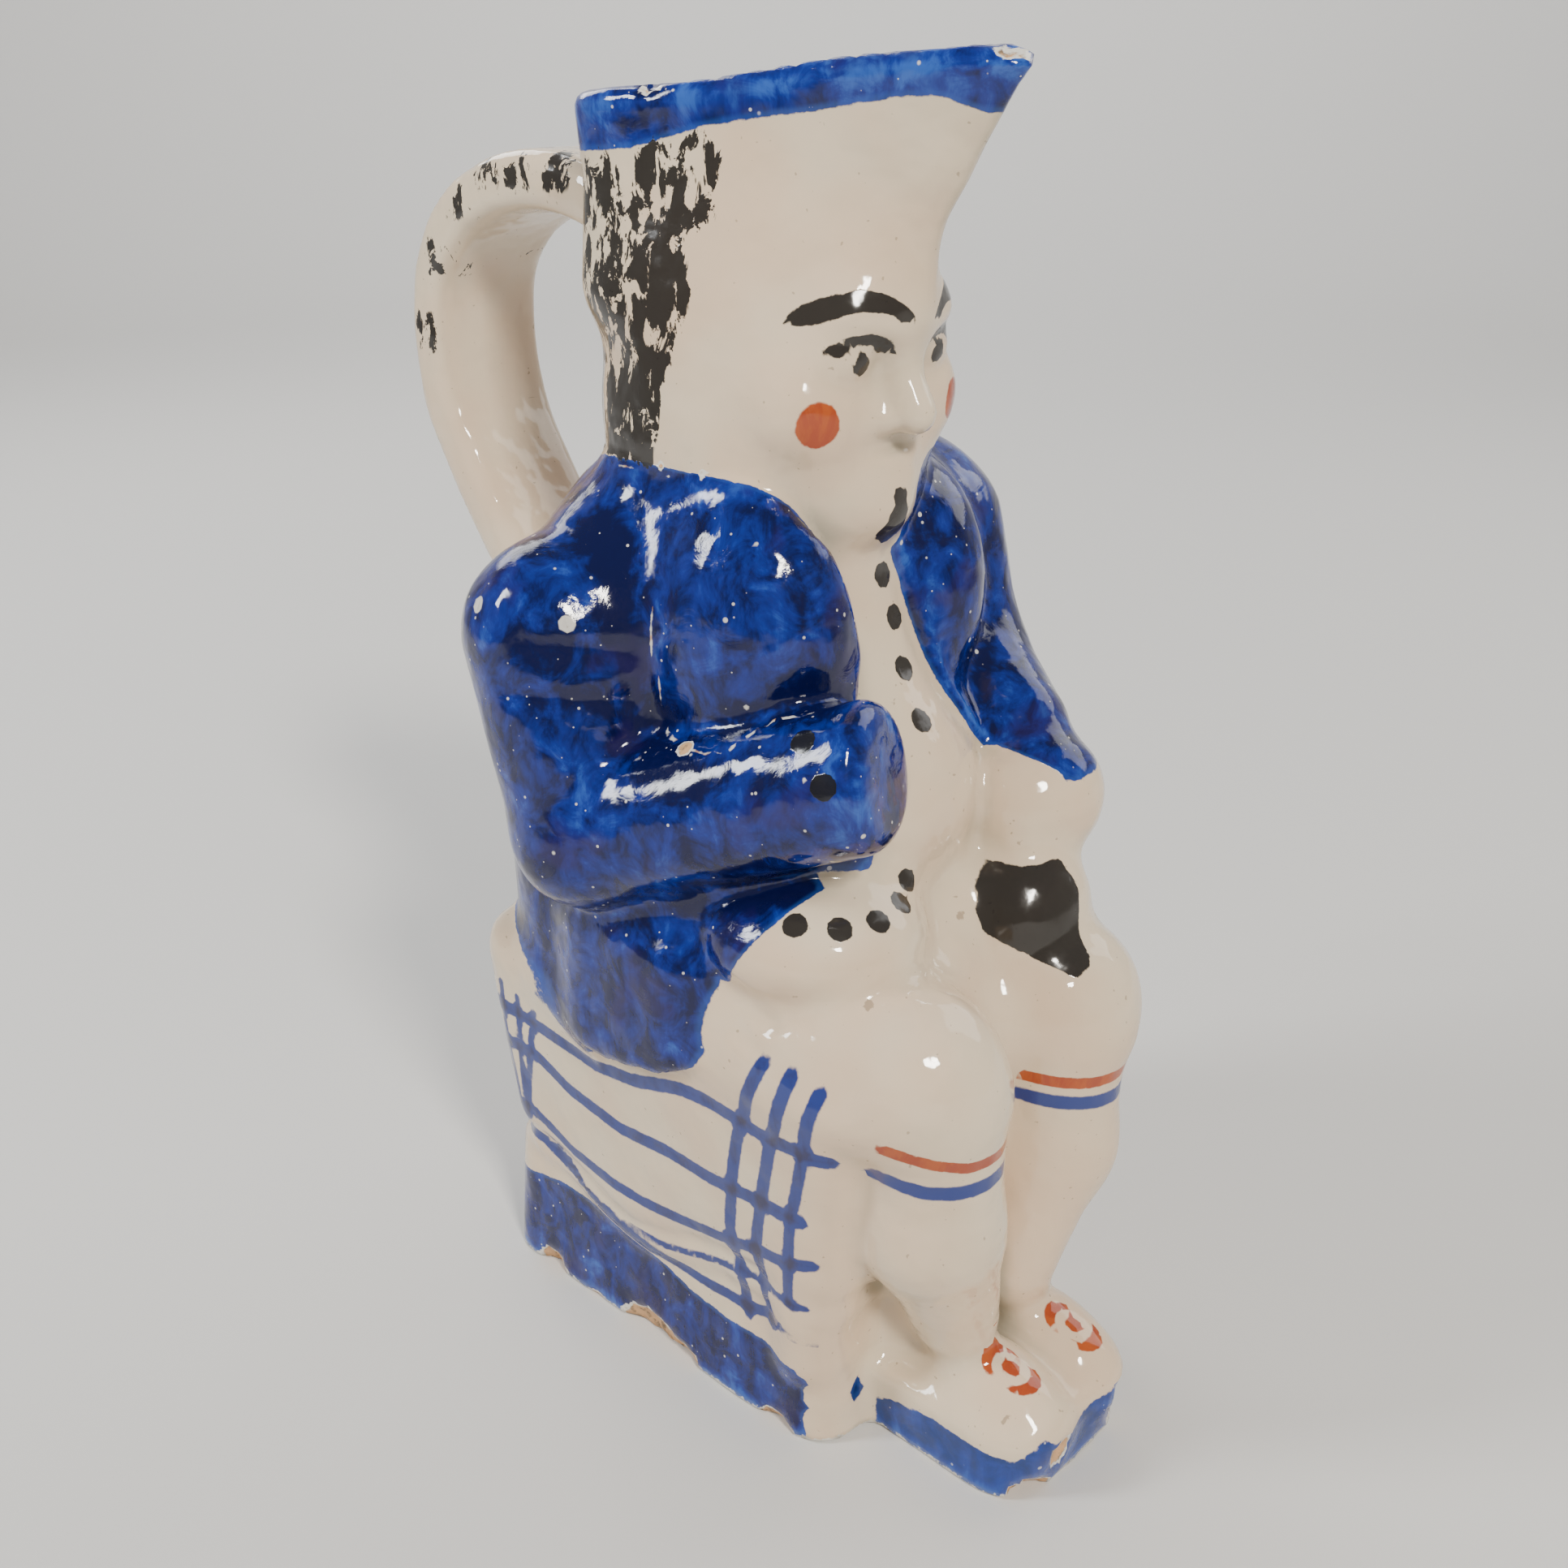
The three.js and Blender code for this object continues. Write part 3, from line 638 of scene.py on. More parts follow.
coat_paint = np.max([others - coat(X, Y, Z), left_sleeve, right_sleeve, collar, front_corner], axis=0)
coat_paint = np.where(Z > COAT_FOOT, coat_paint, ABSENT)

# The hat's band
BAND_EDGE = [
    (-58, 288), (-51, 290.5), (-37, 289.6), (-23, 287.6), (-7, 284.6), (8, 281.6), (24, 280), (32, 280),
]
hat_band = Z - along(BAND_EDGE, Y) + 0.4 * np.sin(Y / 6.1)
hat_band = np.where(outer, hat_band, Z - rim_height(X, Y) + 5)

# The place along the side of the seat, which runs on round its corners
side = Y + np.where(Y > 0, np.maximum(44 * U - np.abs(X), 0), -np.maximum(43 * U - np.abs(X), 0))

# The bands round the base and the toes, and the diamond between them
FOOT_EDGE = [
    (-54, 22.7), (-41, 22.4), (-28, 21.6), (-16, 22.3), (-6, 24.9),
    (7, 27.5), (22, 29.6), (36, 29.4), (50, 26.5),
]
ragged_end = side / U + 53 + 0.9 * np.sin(Z / 1.3) + 0.6 * np.sin(Z / 0.7)
foot_band = np.minimum(along(FOOT_EDGE, side) - Z, ragged_end)
foot_band = np.where(base(X, Y, Z) < toe_block(X, Y, Z), foot_band, ABSENT)
TOE_EDGE = [
    (36, 9.5), (40, 11), (53, 13.4), (75, 12), (79, 14.5), (83, 17), (90, 14), (97, 13.5), (112, 15.7),
]
toe_band = along(TOE_EDGE, np.minimum(X, 12 * U) - Y) - Z
toe_band = np.min([toe_band, -61.5 * U - Y, 0.6 - normals[:, 2]], axis=0)
diamond = 1.8 * U - np.abs(X + 31.6 * U) * 0.85 - np.abs(Z - 12.2 * U) * 0.42
diamond = np.where(Y > -61 * U, diamond, ABSENT)
cobalt = np.max([coat_paint, hat_band, foot_band, toe_band, diamond], axis=0)
cobalt = np.where(outer | (Z > 280 * U), cobalt, ABSENT)

# The plaid on the seat: half the width of each stroke and its places, level strokes first
PLAID = [
    (1.9, [
        (-62, 86), (-55, 87), (-45, 86), (-28, 86.7), (-19, 85.7),
        (-3, 80.5), (11, 78.6), (26, 80), (40, 81), (95, 79),
    ]),
    (1.9, [(-55, 67.5), (-41, 66.2), (-27, 64.5), (-13, 65), (3, 63.5), (22, 66), (34, 70.7), (95, 69)]),
    (1.7, [
        (-57, 56), (-43, 52), (-28, 48), (-16, 46), (-3, 44.5), (9, 44.5), (24, 46), (38, 51.5), (95, 52),
    ]),
    (1.0, [
        (-55, 42.8), (-48, 42), (-37, 41), (-23, 37.5), (-6, 32.4), (9, 31.6), (21, 34.5), (30, 41), (34, 44),
    ]),
    (1.5, [
        (-56, 32), (-48, 33), (-35, 29), (-19, 27.7), (-1, 28.2),
        (15, 30.8), (27, 37.8), (39, 41.5), (95, 41),
    ]),
    (1.8, [(-46.5, 107), (-42.5, 96), (-37, 81), (-34, 67), (-32.5, 54), (-33, 41), (-35, 27)]),
    (1.8, [(-53.5, 105), (-51, 95), (-47, 83), (-43.5, 68.5), (-40.7, 54), (-41, 42), (-43, 30)]),
    (1.6, [(-61, 103.5), (-58.5, 93.5), (-56, 83), (-52.5, 68), (-51.5, 56), (-50.5, 43), (-53.5, 34)]),
    (1.2, [(32.5, 84), (36.5, 70), (39, 60), (41, 48)]),
    (1.1, [(38.5, 86), (40, 73), (41, 63), (42, 48)]),
    (1.1, [(45, 88), (46, 70), (45, 58), (43, 46)]),
    (1.6, [(84, 88), (85, 70), (83, 44)]),
    (1.6, [(92, 88), (92.5, 70), (90, 44)]),
]
strokes = [stroke(line, half) for half, line in PLAID]
overlaps = np.sum([np.clip(d / 0.6, 0, 1) for d in strokes], axis=0)
clear = np.min([coat(X, Y, Z), legs(X, Y, Z), web(X, Y, Z)], axis=0) - 1
on_seat = 4 - np.minimum(seat(X, Y, Z), base(X, Y, Z))
plaid = np.min([np.max(strokes, axis=0), clear, on_seat], axis=0)

# Garters, buckles and cheeks
on_legs = (Y < -66 * U) & (Z < 102 * U)


def garter(line, half):
    """A stroke round a calf, as heights along x."""
    line = np.array(line, float)
    taper = np.minimum(X / U - line[0, 0], line[-1, 0] - X / U)
    middle = np.interp(X / U, line[:, 0], line[:, 1])
    return np.where(on_legs, np.minimum(half - np.abs(Z / U - middle), taper), ABSENT) * U


orange_garters = [
    garter([(-44, 94), (-37, 90.6), (-30, 88.2), (-19, 87), (-12, 88)], 1.5),
    garter([(6, 87.6), (16, 86), (26, 85), (38, 86)], 1.5),
]
blue_garters = [
    garter([(-41, 84), (-37, 82.4), (-33, 82.1), (-26, 81.6), (-16, 80.8)], 1.8),
    garter([(6, 82.3), (16, 80.6), (26, 79.2), (38, 80)], 1.8),
]
stripe = np.max([plaid, *blue_garters], axis=0)


CRESCENT_OUTER = 4.5
CRESCENT_INNER = 3.9
BUCKLE_DOT = 1.9


def buckle(x, y):
    """Two crescents with a dot between them, painted on top of a shoe."""
    dx = X / U - x + 0.1 * (Y / U - y)
    dy = np.abs(Y / U - y)
    crescent = np.minimum(CRESCENT_OUTER - length(dx, dy - 2.5), length(dx, dy - 0.4) - CRESCENT_INNER)
    mark = np.maximum(crescent, BUCKLE_DOT - length(dx, dy * 0.85))
    return np.where((Z > 14 * U) & (Z < 38 * U) & (normals[:, 2] > 0), mark, ABSENT)


cheek_spots = spots([(-19.5, -32, 232), (19.5, -32, 232)], 5.4)
orange = np.max([*orange_garters, buckle(-13.6, -89.2), buckle(8.5, -91.2), cheek_spots], axis=0)

# Black: buttons, the mark on the left hand, and the painted face
BUTTONS = [(2.9, -32.2, 196.5), (4.7, -34, 187), (3.5, -38.2, 176.6), (1.3, -45.2, 167)]
SLEEVE_BUTTONS = [(-39.7, -48.1, 175.1), (-42.7, -56.2, 168.6)]
FLAP_DOTS = [
    (-40.8, -47.3, 134.6), (-35.1, -54.5, 134.1), (-26.8, -57.9, 134),
    (-17.8, -56.3, 134.1), (-11.8, -52.8, 136),
]
buttons = np.maximum(spots(BUTTONS, 2.9), spots(FLAP_DOTS + SLEEVE_BUTTONS, 2.8))
HAND_MARK = [
    (26.5, 127), (25, 133.5), (14.4, 132.5), (8.6, 129), (6, 124),
    (6.3, 119), (11, 115), (16.5, 110.5), (22, 113),
]
hand_mark = np.where(Y < -50 * U, polygon(HAND_MARK, X / U, Z / U), ABSENT)
front = (Y < -18 * U) & (Z > 200 * U) & (Z < 264 * U)
EYE_X = 12.0
EYE_Z = 242.4
across, up = np.abs(X) / U - EYE_X, Z / U
arch = length((across - 0.5) / 8.8, (up - BROW + 2.5) / 7.2)
thickness = 2.1 - 0.10 * np.abs(across - 0.5)
brow_paint = np.minimum(thickness - np.abs(arch - 1) * 7.5, up - BROW)
lid = np.minimum(1.05 - np.abs(length(across / 6.6, (up - EYE_Z + 0.4) / 5.4) - 1) * 5, up - EYE_Z - 1.8)
pupils = 2.2 - length(across, up - EYE_Z)
tuft = mix(4.4, 1.9, ease(204, 216, up)) + 0.25 * np.sin(up * 1.7) - np.abs(X / U)
goatee = np.min([tuft, 217 - up, up - 204.5 - 0.25 * np.abs(X / U) - 0.6 * np.sin(X * 2.6)], axis=0)
painted_face = np.max([brow_paint, lid, pupils, goatee], axis=0) * U
black = np.max([buttons, hand_mark, np.where(front, painted_face, ABSENT)], axis=0)

# Sponged hair: how densely the sponge was dabbed, from hat to collar and round the back
HAIR_EDGE = [
    (224, -1), (231, -2.6), (240, -4.6), (249, -7), (255, -9), (265, -8), (268, -11), (278, -12), (284, -10),
]
hair = (Y - along(HAIR_EDGE, Z)) / U
hair_ends = np.minimum(Z / U - 220, 285 - Z / U - 6 * ease(6, 20, hair) + 1.5 * np.sin(Y / 2.3))
density = mix(0.78, 0.52, ease(9, 30, hair)) - 0.12 * ease(262 * U, 280 * U, Z)
density *= ease(0, 2.2, hair) * ease(-2, 2, hair_ends) * (coat_paint < 0.3) * (handle(X, Y, Z) > 2)

# Stray dabs of the sponge along the handle's edges
ON_HANDLE = [(47, 276), (60, 275), (73, 273), (82, 267), (94, 255), (101, 236)]
dabs = np.max([6.5 - length(Y / U - y, Z / U - z) for y, z in ON_HANDLE], axis=0) / 6.5
on_handle = (handle(X, Y, Z) < 1.5) & (Y > 38 * U) & (np.abs(np.abs(X) - 12 * U) < 6 * U)
density = np.where(on_handle, 0.62 * ease(0, 0.6, dabs), density)
density *= outer

# Damage: chips by how much is broken away, pits, and cracks by the distance from them
clay = np.where(chipped(X, Y, Z) < 0.6, -unbroken(X, Y, Z), ABSENT)
worn_foot = np.minimum(0.42, (1.7 - Z / U) * 0.35)
clay = np.max([clay, worn_foot, spots([(-45.9, -21.4, 167.8)], 2.4)], axis=0)
clay = np.maximum(clay, spots([(-33, -2, 221.3), (-30.5, -12.6, 220.4)], 1.6))
CREASE_CRACK = [
    (-41.8, -8.1, 194), (-42.6, -8.6, 186), (-42.2, -10.2, 178), (-41.8, -11, 172.4), (-42.7, -12.2, 168),
    (-45.9, -21.4, 167.8), (-46.1, -27.3, 168.4), (-44.8, -32.4, 169.8), (-40.1, -35, 173.3),
    (-35.3, -37.6, 175.7), (-33.4, -43.6, 177.5),
]
COLLAR_CRACK = [(-32.3, 13.6, 218.4), (-33, 5.7, 219.7), (-33.3, -0.5, 220.6), (-32.8, -4.8, 219.2)]
crack = np.minimum(gap_to(CREASE_CRACK, X, Y, Z), gap_to(COLLAR_CRACK, X, Y, Z) + 0.15)
upper_line = np.abs(Z / U - 259 + 0.08 * X + 0.4 * np.sin(X / 3))
lower_line = np.abs(Z / U - 219.5 + 0.1 * X + 0.5 * np.sin(X / 4))
hairline = np.where((Y > 66 * U) & (handle(X, Y, Z) < 1.5), np.minimum(upper_line, lower_line), 9)
PITS = [(-62.9, 22.1, 193.2), (-55.3, 2.9, 191.4)]
BLISTERS = [
    (-34.2, -3.6, 213.3), (-32.7, -28.9, 209.2), (-53.2, -4.7, 164.8),
    (-43.7, -52.2, 168.9), (-37.7, -30.9, 176.9),
]
pit = np.maximum(spots(PITS, 2), spots(BLISTERS, 1))
BROWN_SPOTS = [(-35.4, -62.8, 119.4), (2.6, -57.4, 123.6), (-5, -53.6, 133.6)]
BROWN_SPECKS = [(-20.8, -94.2, 19.7), (-22.4, -93.8, 19.7), (-32, -84, 70), (-34.7, -64, 51)]
brown = np.maximum(spots(BROWN_SPOTS, 1.2), spots(BROWN_SPECKS, 0.9))

# Where glaze pools in hollows and thins on ridges, and where shade is painted into hollows and creases and
# highlight onto ridges
HOLLOW_REACH = 5
RIDGE_REACH = 4
# How enclosed each point is: the glaze below is painted darker there, partly as glaze pooling and partly as
# painted shade
outward_gap = evaluate(outside, points + normals * HOLLOW_REACH)
pool_and_shade = np.clip(1 - outward_gap / HOLLOW_REACH, 0, 1) * outer
# A painted shade band along the crease between the right arm and the body
VALLEY = [
    (-41.5, 9.9, 207.6), (-42, 3.5, 204.1), (-44.3, -1.5, 195.3), (-44.7, -4.3, 182.1), (-43.4, -6.2, 171.5),
    (-49, -16.9, 165.3), (-50.7, -26.2, 163.6),
]
pool_and_shade = np.maximum(pool_and_shade, 0.85 - gap_to(VALLEY, X, Y, Z) / (9 * U))
# How thin the form is behind each point: the cobalt below is paled there, partly as glaze thinning and partly
# as painted highlight
inward_gap = evaluate(outside, points - normals * RIDGE_REACH)
ridge = np.clip(1 + inward_gap / RIDGE_REACH, 0, 1) * outer

mesh = bpy.data.meshes.new("jug_glazed")
mesh.from_pydata((points * MM).tolist(), [], quads.tolist())
mesh.update()
mesh.shade_smooth()
LAYERS = {
    "cobalt": cobalt, "stripe": stripe, "overlaps": overlaps, "orange": orange, "black": black,
    "sponge": density, "clay": clay, "crack": crack, "hairline": hairline, "pit": pit, "brown": brown,
    "pool_and_shade": pool_and_shade, "ridge": ridge,
}
for name, value in LAYERS.items():
    layer = mesh.attributes.new(name, "FLOAT", "POINT")
    layer.data.foreach_set("value", np.asarray(value, np.float32))
jug = bpy.data.objects.new("jug_glazed", mesh)
bpy.context.scene.collection.objects.link(jug)

# The glaze and its colours, linear
CREAM = (0.75, 0.62, 0.455, 1)
CREAM_PINK = (0.73, 0.555, 0.39, 1)
# Cream darkened as painted shade in hollows
CREAM_SHADE = (0.40, 0.36, 0.27, 1)
COBALT_DEEP = (0.002, 0.004, 0.045, 1)
COBALT = (0.006, 0.022, 0.22, 1)
COBALT_THIN = (0.028, 0.10, 0.42, 1)
COBALT_VIOLET = (0.018, 0.010, 0.085, 1)
STRIPE = (0.005, 0.028, 0.20, 1)
STRIPE_DEEP = (0.002, 0.006, 0.065, 1)
BLACK = (0.008, 0.008, 0.009, 1)
ORANGE = (0.34, 0.036, 0.001, 1)
ORANGE_THIN = (0.42, 0.066, 0.003, 1)
CLAY = (0.68, 0.40, 0.20, 1)
CLAY_DARK = (0.20, 0.13, 0.07, 1)
WHITE = (0.76, 0.73, 0.66, 1)

# White pin holes in the cobalt: spacing, radius as a share of it, and the share left out
PIN_HOLES = ((2.6, 0.085, 0.60), (4.2, 0.095, 0.40), (9.0, 0.075, 0.45))


class Nodes:
    """Short calls that add and join shader nodes."""

    def __init__(self, material):
        material.use_nodes = True
        self.tree = material.node_tree
        self.shader = self.tree.nodes["Principled BSDF"]
        self.place = self.node("ShaderNodeTexCoord").outputs["Object"]

    def node(self, kind, **settings):
        made = self.tree.nodes.new(kind)
        for name, value in settings.items():
            setattr(made, name, value)
        return made

    def link(self, socket, value):
        if isinstance(value, bpy.types.NodeSocket):
            self.tree.links.new(value, socket)
        else:
            socket.default_value = value

    def math(self, operation, a, b=0.0):
        made = self.node("ShaderNodeMath", operation=operation)
        self.link(made.inputs[0], a)
        self.link(made.inputs[1], b)
        return made.outputs[0]

    def plus(self, a, b):
        return self.math("ADD", a, b)

    def times(self, a, b):
        return self.math("MULTIPLY", a, b)

    def less(self, value, limit, soft):
        """1 where the value is well below the limit, 0 above it."""
        made = self.step(value, limit - soft, limit)
        return self.math("SUBTRACT", 1.0, made)

    def red(self, colour):
        split = self.node("ShaderNodeSeparateColor")
        self.link(split.inputs[0], colour)
        return split.outputs[0]

    def attribute(self, name):
        return self.node("ShaderNodeAttribute", attribute_name=name).outputs["Fac"]

    def stretched(self, scale):
        made = self.node("ShaderNodeMapping")
        self.link(made.inputs["Vector"], self.place)
        made.inputs["Scale"].default_value = scale
        return made.outputs["Vector"]

    def noise(self, size, detail=2.0, roughness=0.5, distortion=0.0, scale=None):
        """Noise about 0.5 whose features are size millimetres across."""
        made = self.node("ShaderNodeTexNoise")
        self.link(made.inputs["Vector"], self.stretched(scale) if scale else self.place)
        made.inputs["Scale"].default_value = 1 / (size * MM)
        made.inputs["Detail"].default_value = detail
        made.inputs["Roughness"].default_value = roughness
        made.inputs["Distortion"].default_value = distortion
        return made.outputs["Fac"]

    def step(self, value, low, high):
        """0 below low and 1 above high, with a smooth rise between."""
        made = self.node("ShaderNodeMapRange", interpolation_type="SMOOTHSTEP")
        self.link(made.inputs["Value"], value)
        made.inputs["From Min"].default_value = low
        made.inputs["From Max"].default_value = high
        return made.outputs["Result"]

    def mix(self, factor, a, b):
        made = self.node("ShaderNodeMix", data_type="RGBA")
        self.link(made.inputs[0], factor)
        self.link(made.inputs[6], a)
        self.link(made.inputs[7], b)
        return made.outputs[2]

    def edged(self, name, wobble, amount, soft=0.12):
        """A painted region with a wobbling edge."""
        moved = self.times(self.plus(wobble, -0.5), amount)
        return self.step(self.plus(self.attribute(name), moved), -soft, soft)


def glaze_material():
    """A tin-white glaze painted in cobalt, orange and black."""
    material = bpy.data.materials.new("glaze")
    n = Nodes(material)
    fine = n.noise(1.1, 2)
    ragged = n.noise(2.6, 4, 0.65)
    mottle = n.noise(9, 6, 0.62, 0.9)
    streak = n.noise(6, 4, 0.65, 0.6, scale=(1, 1, 0.4))
    pool_and_shade = n.attribute("pool_and_shade")
    ridge = n.attribute("ridge")

    # Cream ground, pinker in patches, and greyer in hollows as painted shade
    colour = n.mix(n.step(n.noise(34, 2), 0.35, 0.65), CREAM, CREAM_PINK)
    # Painted shade: cream darkened towards grey-brown in hollows
    colour = n.mix(n.times(n.step(pool_and_shade, 0.15, 1.0), 0.8), colour, CREAM_SHADE)
    specks = n.step(n.noise(1.5, 1), 0.74, 0.78)
    colour = n.mix(n.times(specks, 0.45), colour, CLAY_DARK)

    # Cobalt: thick in hollows, thin on ridges, cloudy between; darker in hollows as painted shade and paler
    # on ridges as painted highlight
    glaze_depth_and_shade = n.plus(n.times(mottle, 0.85), n.times(streak, 0.52))
    # Painted highlight: paler cobalt on ridges, partly also real thinning of the glaze
    glaze_depth_and_shade = n.plus(glaze_depth_and_shade, n.times(ridge, -0.45))
    # Painted shade: deeper cobalt in hollows and creases, partly also real pooling
    glaze_depth_and_shade = n.plus(glaze_depth_and_shade, n.times(pool_and_shade, 0.40))
    blue = n.mix(n.step(glaze_depth_and_shade, 0.40, 0.62), COBALT_THIN, COBALT)
    blue = n.mix(n.step(glaze_depth_and_shade, 0.56, 0.82), blue, COBALT_DEEP)
    blue = n.mix(n.times(n.step(n.noise(17, 3), 0.54, 0.68), 0.5), blue, COBALT_VIOLET)
    for size, radius, share in PIN_HOLES:
        cells = n.node("ShaderNodeTexVoronoi")
        n.link(cells.inputs["Vector"], n.place)
        cells.inputs["Scale"].default_value = 1 / (size * MM)
        shown = n.math("GREATER_THAN", n.red(cells.outputs["Color"]), share)
        pin = n.times(n.less(cells.outputs["Distance"], radius, radius * 0.4), shown)
        blue = n.mix(n.times(pin, 0.8), blue, WHITE)
    cobalt = n.edged("cobalt", ragged, 1.3, 0.18)
    thin_edge = n.less(n.attribute("cobalt"), 1.6, 1.2)
    blue = n.mix(n.times(thin_edge, 0.35), blue, COBALT_THIN)
    colour = n.mix(cobalt, colour, blue)

    # The plaid and the blue garters, darker where strokes cross
    dense = n.plus(n.times(n.attribute("overlaps"), 0.30), n.times(streak, 0.9))
    line = n.mix(n.step(dense, 0.62, 1.05), STRIPE, STRIPE_DEEP)
    colour = n.mix(n.times(n.edged("stripe", ragged, 0.8, 0.25), 0.97), colour, line)

    # Orange and black
    tint = n.mix(n.step(streak, 0.42, 0.60), ORANGE_THIN, ORANGE)
    colour = n.mix(n.times(n.edged("orange", ragged, 0.6, 0.16), 0.96), colour, tint)
    black = n.edged("black", ragged, 1.0)
    sponge = n.noise(4.6, 5, 0.66, 0.5, scale=(1, 1, 0.55))
    coarse = n.times(n.plus(n.noise(12, 2), -0.5), 0.30)
    density = n.attribute("sponge")
    dabbed = n.plus(n.plus(sponge, n.times(n.plus(density, -0.5), 0.26)), coarse)
    hair = n.times(n.step(dabbed, 0.49, 0.51), n.step(density, 0.02, 0.12))
    black = n.math("MAXIMUM", black, hair)
    colour = n.mix(n.times(black, 0.97), colour, BLACK)

    # Cracks, pits and brown marks
    wander = n.times(n.plus(ragged, -0.5), 0.9)
    crack = n.less(n.plus(n.attribute("crack"), wander), 0.62, 0.3)
    colour = n.mix(n.times(crack, 0.9), colour, n.mix(n.step(n.noise(5, 2), 0.55, 0.62), WHITE, CLAY))
    hairline = n.less(n.plus(n.attribute("hairline"), n.times(wander, 0.4)), 0.16, 0.14)
    colour = n.mix(n.times(hairline, 0.45), colour, CLAY_DARK)
    pit = n.attribute("pit")
    colour = n.mix(n.times(n.step(pit, 0.0, 0.3), 0.85), colour, WHITE)
    colour = n.mix(n.step(pit, 1.1, 1.4), colour, CLAY_DARK)
    colour = n.mix(n.times(n.edged("brown", ragged, 2.2), 0.55), colour, CLAY_DARK)

    # Chips: bare clay inside a pale broken edge
    broken = n.plus(n.attribute("clay"), n.times(n.plus(ragged, -0.5), 1.6))
    halo = n.step(broken, 0.05, 0.2)
    bare = n.step(broken, 0.45, 0.65)
    colour = n.mix(halo, colour, WHITE)
    clay = n.mix(n.step(n.noise(4, 5, 0.7), 0.5, 0.66), CLAY, CLAY_DARK)
    colour = n.mix(bare, colour, clay)
    n.link(n.shader.inputs["Base Color"], colour)

    rough = n.plus(n.times(bare, 0.6), n.times(black, 0.06))
    n.link(n.shader.inputs["Roughness"], n.plus(rough, n.times(fine, 0.14)))
    n.shader.inputs["IOR"].default_value = 1.5

    # Uneven glaze, paint that stands up a little, pits and rough clay
    height = n.plus(n.times(n.noise(13, 2), 2.0), n.times(n.noise(4.5, 2), 0.16))
    height = n.plus(height, n.times(n.times(cobalt, mottle), 0.25))
    height = n.plus(height, n.times(n.times(bare, n.noise(2, 4, 0.7)), 0.8))
    height = n.plus(height, n.times(n.step(pit, 0.6, 1.4), -0.5))
    height = n.plus(height, n.times(black, 0.04))
    bump = n.node("ShaderNodeBump")
    bump.inputs["Strength"].default_value = 0.6
    bump.inputs["Distance"].default_value = 1.0 * MM
    n.link(bump.inputs["Height"], height)
    n.link(n.shader.inputs["Normal"], bump.outputs["Normal"])
    return material


mesh.materials.append(glaze_material())

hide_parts("jug")
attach(jug, "root")

# A pale floor that curves up into a wall all round, far from the jug
SWEEP_FLAT = 2.2
SWEEP_RADIUS = 1.2
SWEEP_TOP = 2.6
SIDES = 96
FLOOR_COLOUR = (0.66, 0.65, 0.63, 1)
profile = [(0.3 * i, 0.0) for i in range(8)]
for t in np.linspace(0, math.pi / 2, 12):
    profile.append((SWEEP_FLAT + SWEEP_RADIUS * math.sin(t), SWEEP_RADIUS * (1 - math.cos(t))))
profile.append((SWEEP_FLAT + SWEEP_RADIUS, SWEEP_TOP))
turns = [2 * math.pi * i / SIDES for i in range(SIDES)]
sweep_points = [(0, 0, 0)] + [(r * math.cos(t), r * math.sin(t), z) for r, z in profile[1:] for t in turns]
sweep_faces = [(0, 1 + i, 1 + (i + 1) % SIDES) for i in range(SIDES)]
for row in range(len(profile) - 2):
    for i in range(SIDES):
        a = 1 + row * SIDES + i
        b = 1 + row * SIDES + (i + 1) % SIDES
        sweep_faces.append((a, a + SIDES, b + SIDES, b))
sweep_mesh = bpy.data.meshes.new("floor")
sweep_mesh.from_pydata(sweep_points, [], sweep_faces)
sweep_mesh.shade_smooth()
floor = bpy.data.objects.new("floor", sweep_mesh)
bpy.context.scene.collection.objects.link(floor)
floor_material = bpy.data.materials.new("floor")
floor_material.use_nodes = True
floor_shader = floor_material.node_tree.nodes["Principled BSDF"]
floor_shader.inputs["Base Color"].default_value = FLOOR_COLOUR
floor_shader.inputs["Roughness"].default_value = 0.75
sweep_mesh.materials.append(floor_material)


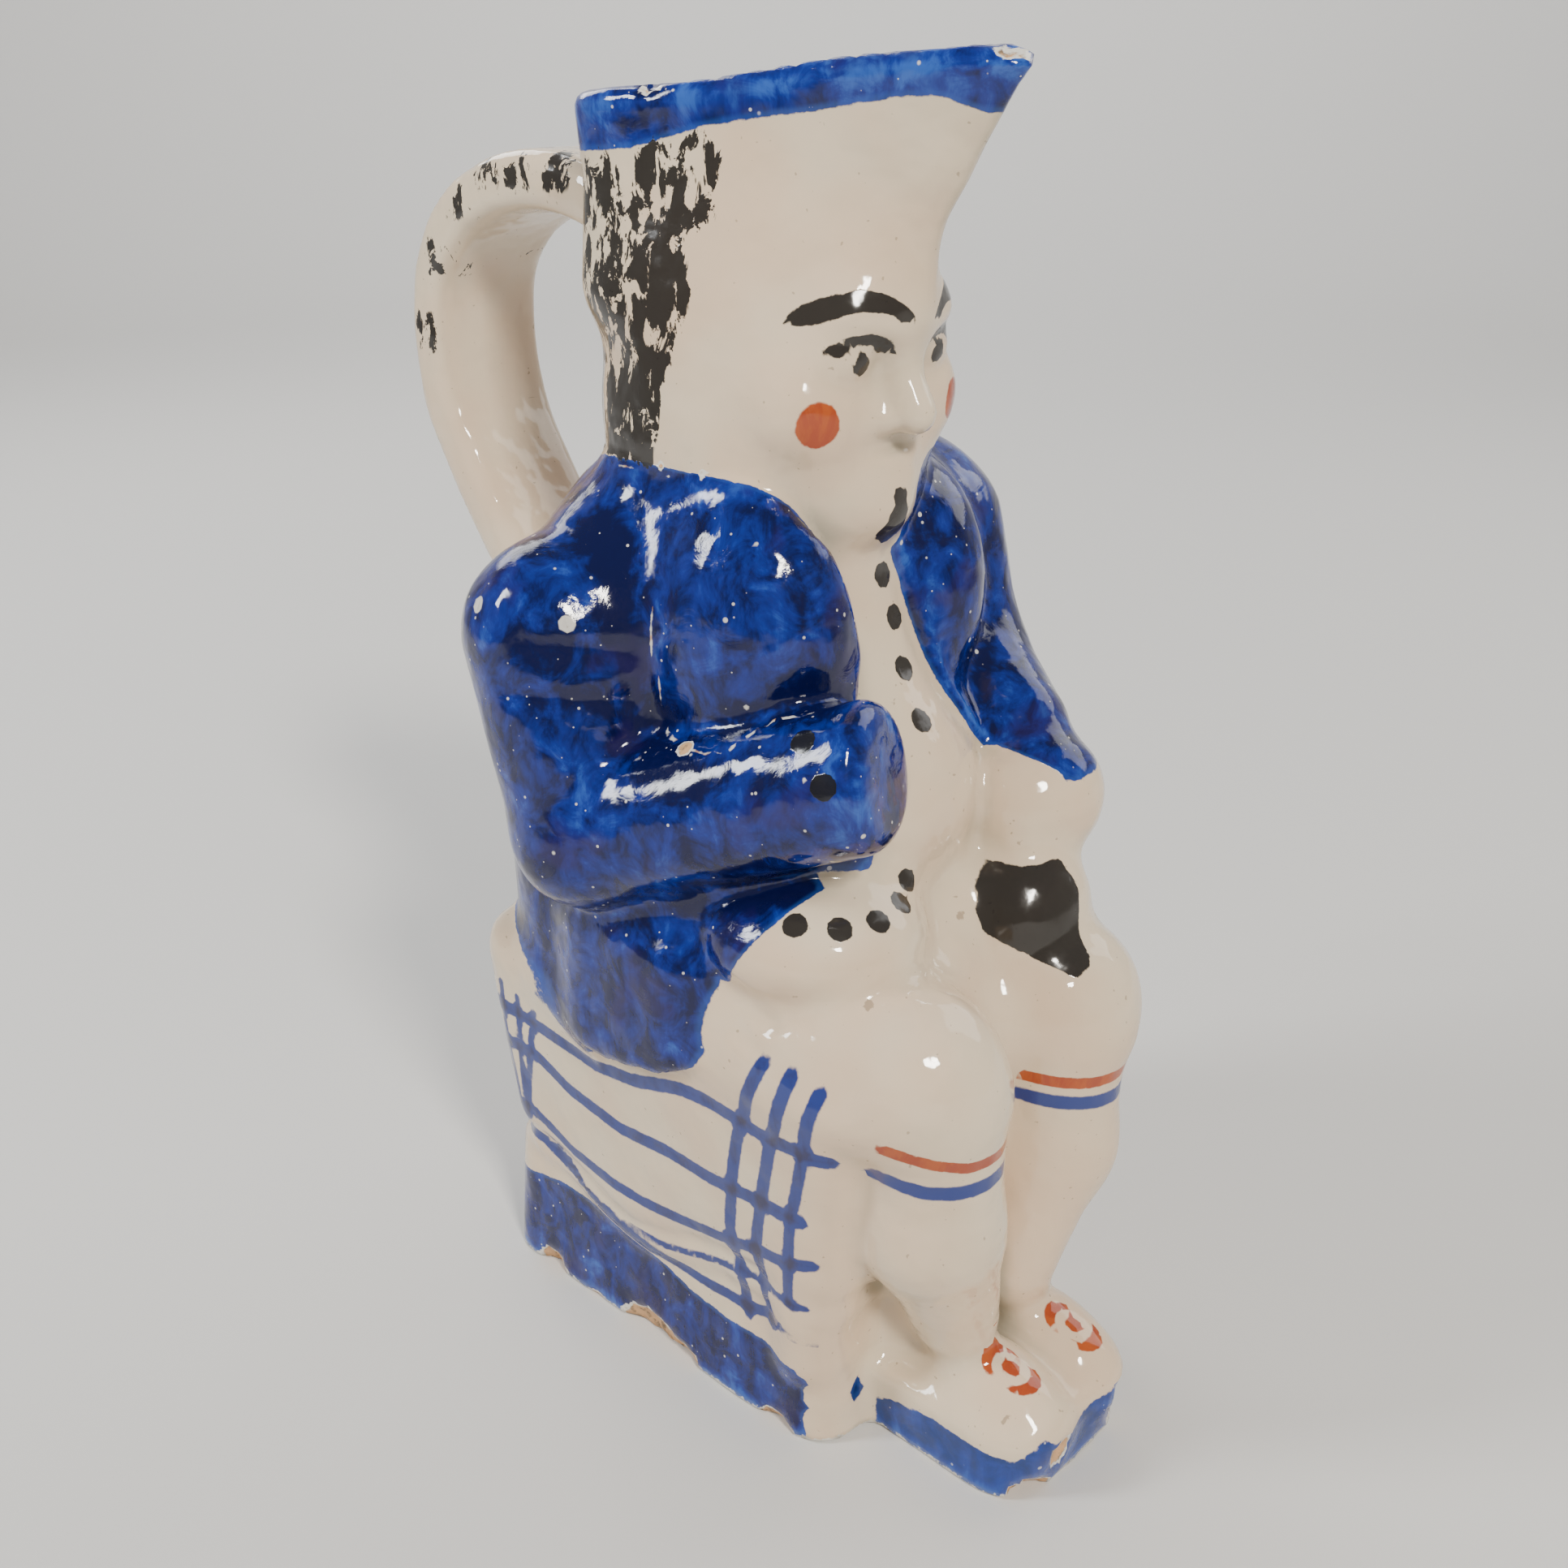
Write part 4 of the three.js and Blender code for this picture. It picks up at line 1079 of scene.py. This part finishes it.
# Light: soft lamps round the jug, one towards the wall, and a dim even sky
def area_light(name, place, target, width, height, power, colour=(1, 1, 1)):
    """A rectangular lamp at place, turned towards target."""
    data = bpy.data.lights.new(name, "AREA")
    data.shape = "RECTANGLE"
    data.size = width
    data.size_y = height
    data.energy = power
    data.color = colour
    lamp = bpy.data.objects.new(name, data)
    bpy.context.scene.collection.objects.link(lamp)
    lamp.location = place
    lamp.rotation_euler = (Vector(target) - Vector(place)).to_track_quat("-Z", "Y").to_euler()


SKY_COLOUR = (0.95, 0.96, 1.0, 1)
SKY_STRENGTH = 0.24
world = bpy.data.worlds.new("studio")
world.use_nodes = True
sky = world.node_tree.nodes["Background"]
sky.inputs["Color"].default_value = SKY_COLOUR
sky.inputs["Strength"].default_value = SKY_STRENGTH
bpy.context.scene.world = world
MIDDLE = (0, 0, 0.15)
WALL_BEHIND = (2.8, 2.6, 0.5)
area_light("window", (-1.0, 0.75, 0.95), MIDDLE, 0.3, 0.5, 15, (0.95, 0.98, 1))
area_light("key", (-0.55, -1.15, 1.2), MIDDLE, 0.22, 0.3, 27, (1, 0.95, 0.87))
area_light("fill", (1.1, -0.3, 0.9), MIDDLE, 0.8, 0.8, 5)
area_light("back", (0.3, 1.2, 1.0), MIDDLE, 0.6, 0.6, 6)
area_light("wall", (1.3, 1.2, 2.4), WALL_BEHIND, 1.6, 0.8, 60)

# Camera: the photograph's place, pitch and focal length
FOCAL_PIXELS = 2000
FRAME_PIXELS = 1932
SENSOR = 36
PITCH = math.radians(23.4)
CAMERA = Vector((-256.6, -246.0, 293)) * MM
HEADING = Vector((0.7304, 0.683, 0))
camera_data = bpy.data.cameras.new("camera")
camera_data.sensor_fit = "HORIZONTAL"
camera_data.sensor_width = SENSOR
camera_data.lens = SENSOR * FOCAL_PIXELS / FRAME_PIXELS
camera_data.clip_start = 0.01
camera = bpy.data.objects.new("camera", camera_data)
bpy.context.scene.collection.objects.link(camera)
camera.location = CAMERA
direction = HEADING * math.cos(PITCH) - Vector((0, 0, math.sin(PITCH)))
camera.rotation_euler = direction.to_track_quat("-Z", "Y").to_euler()
bpy.context.scene.camera = camera
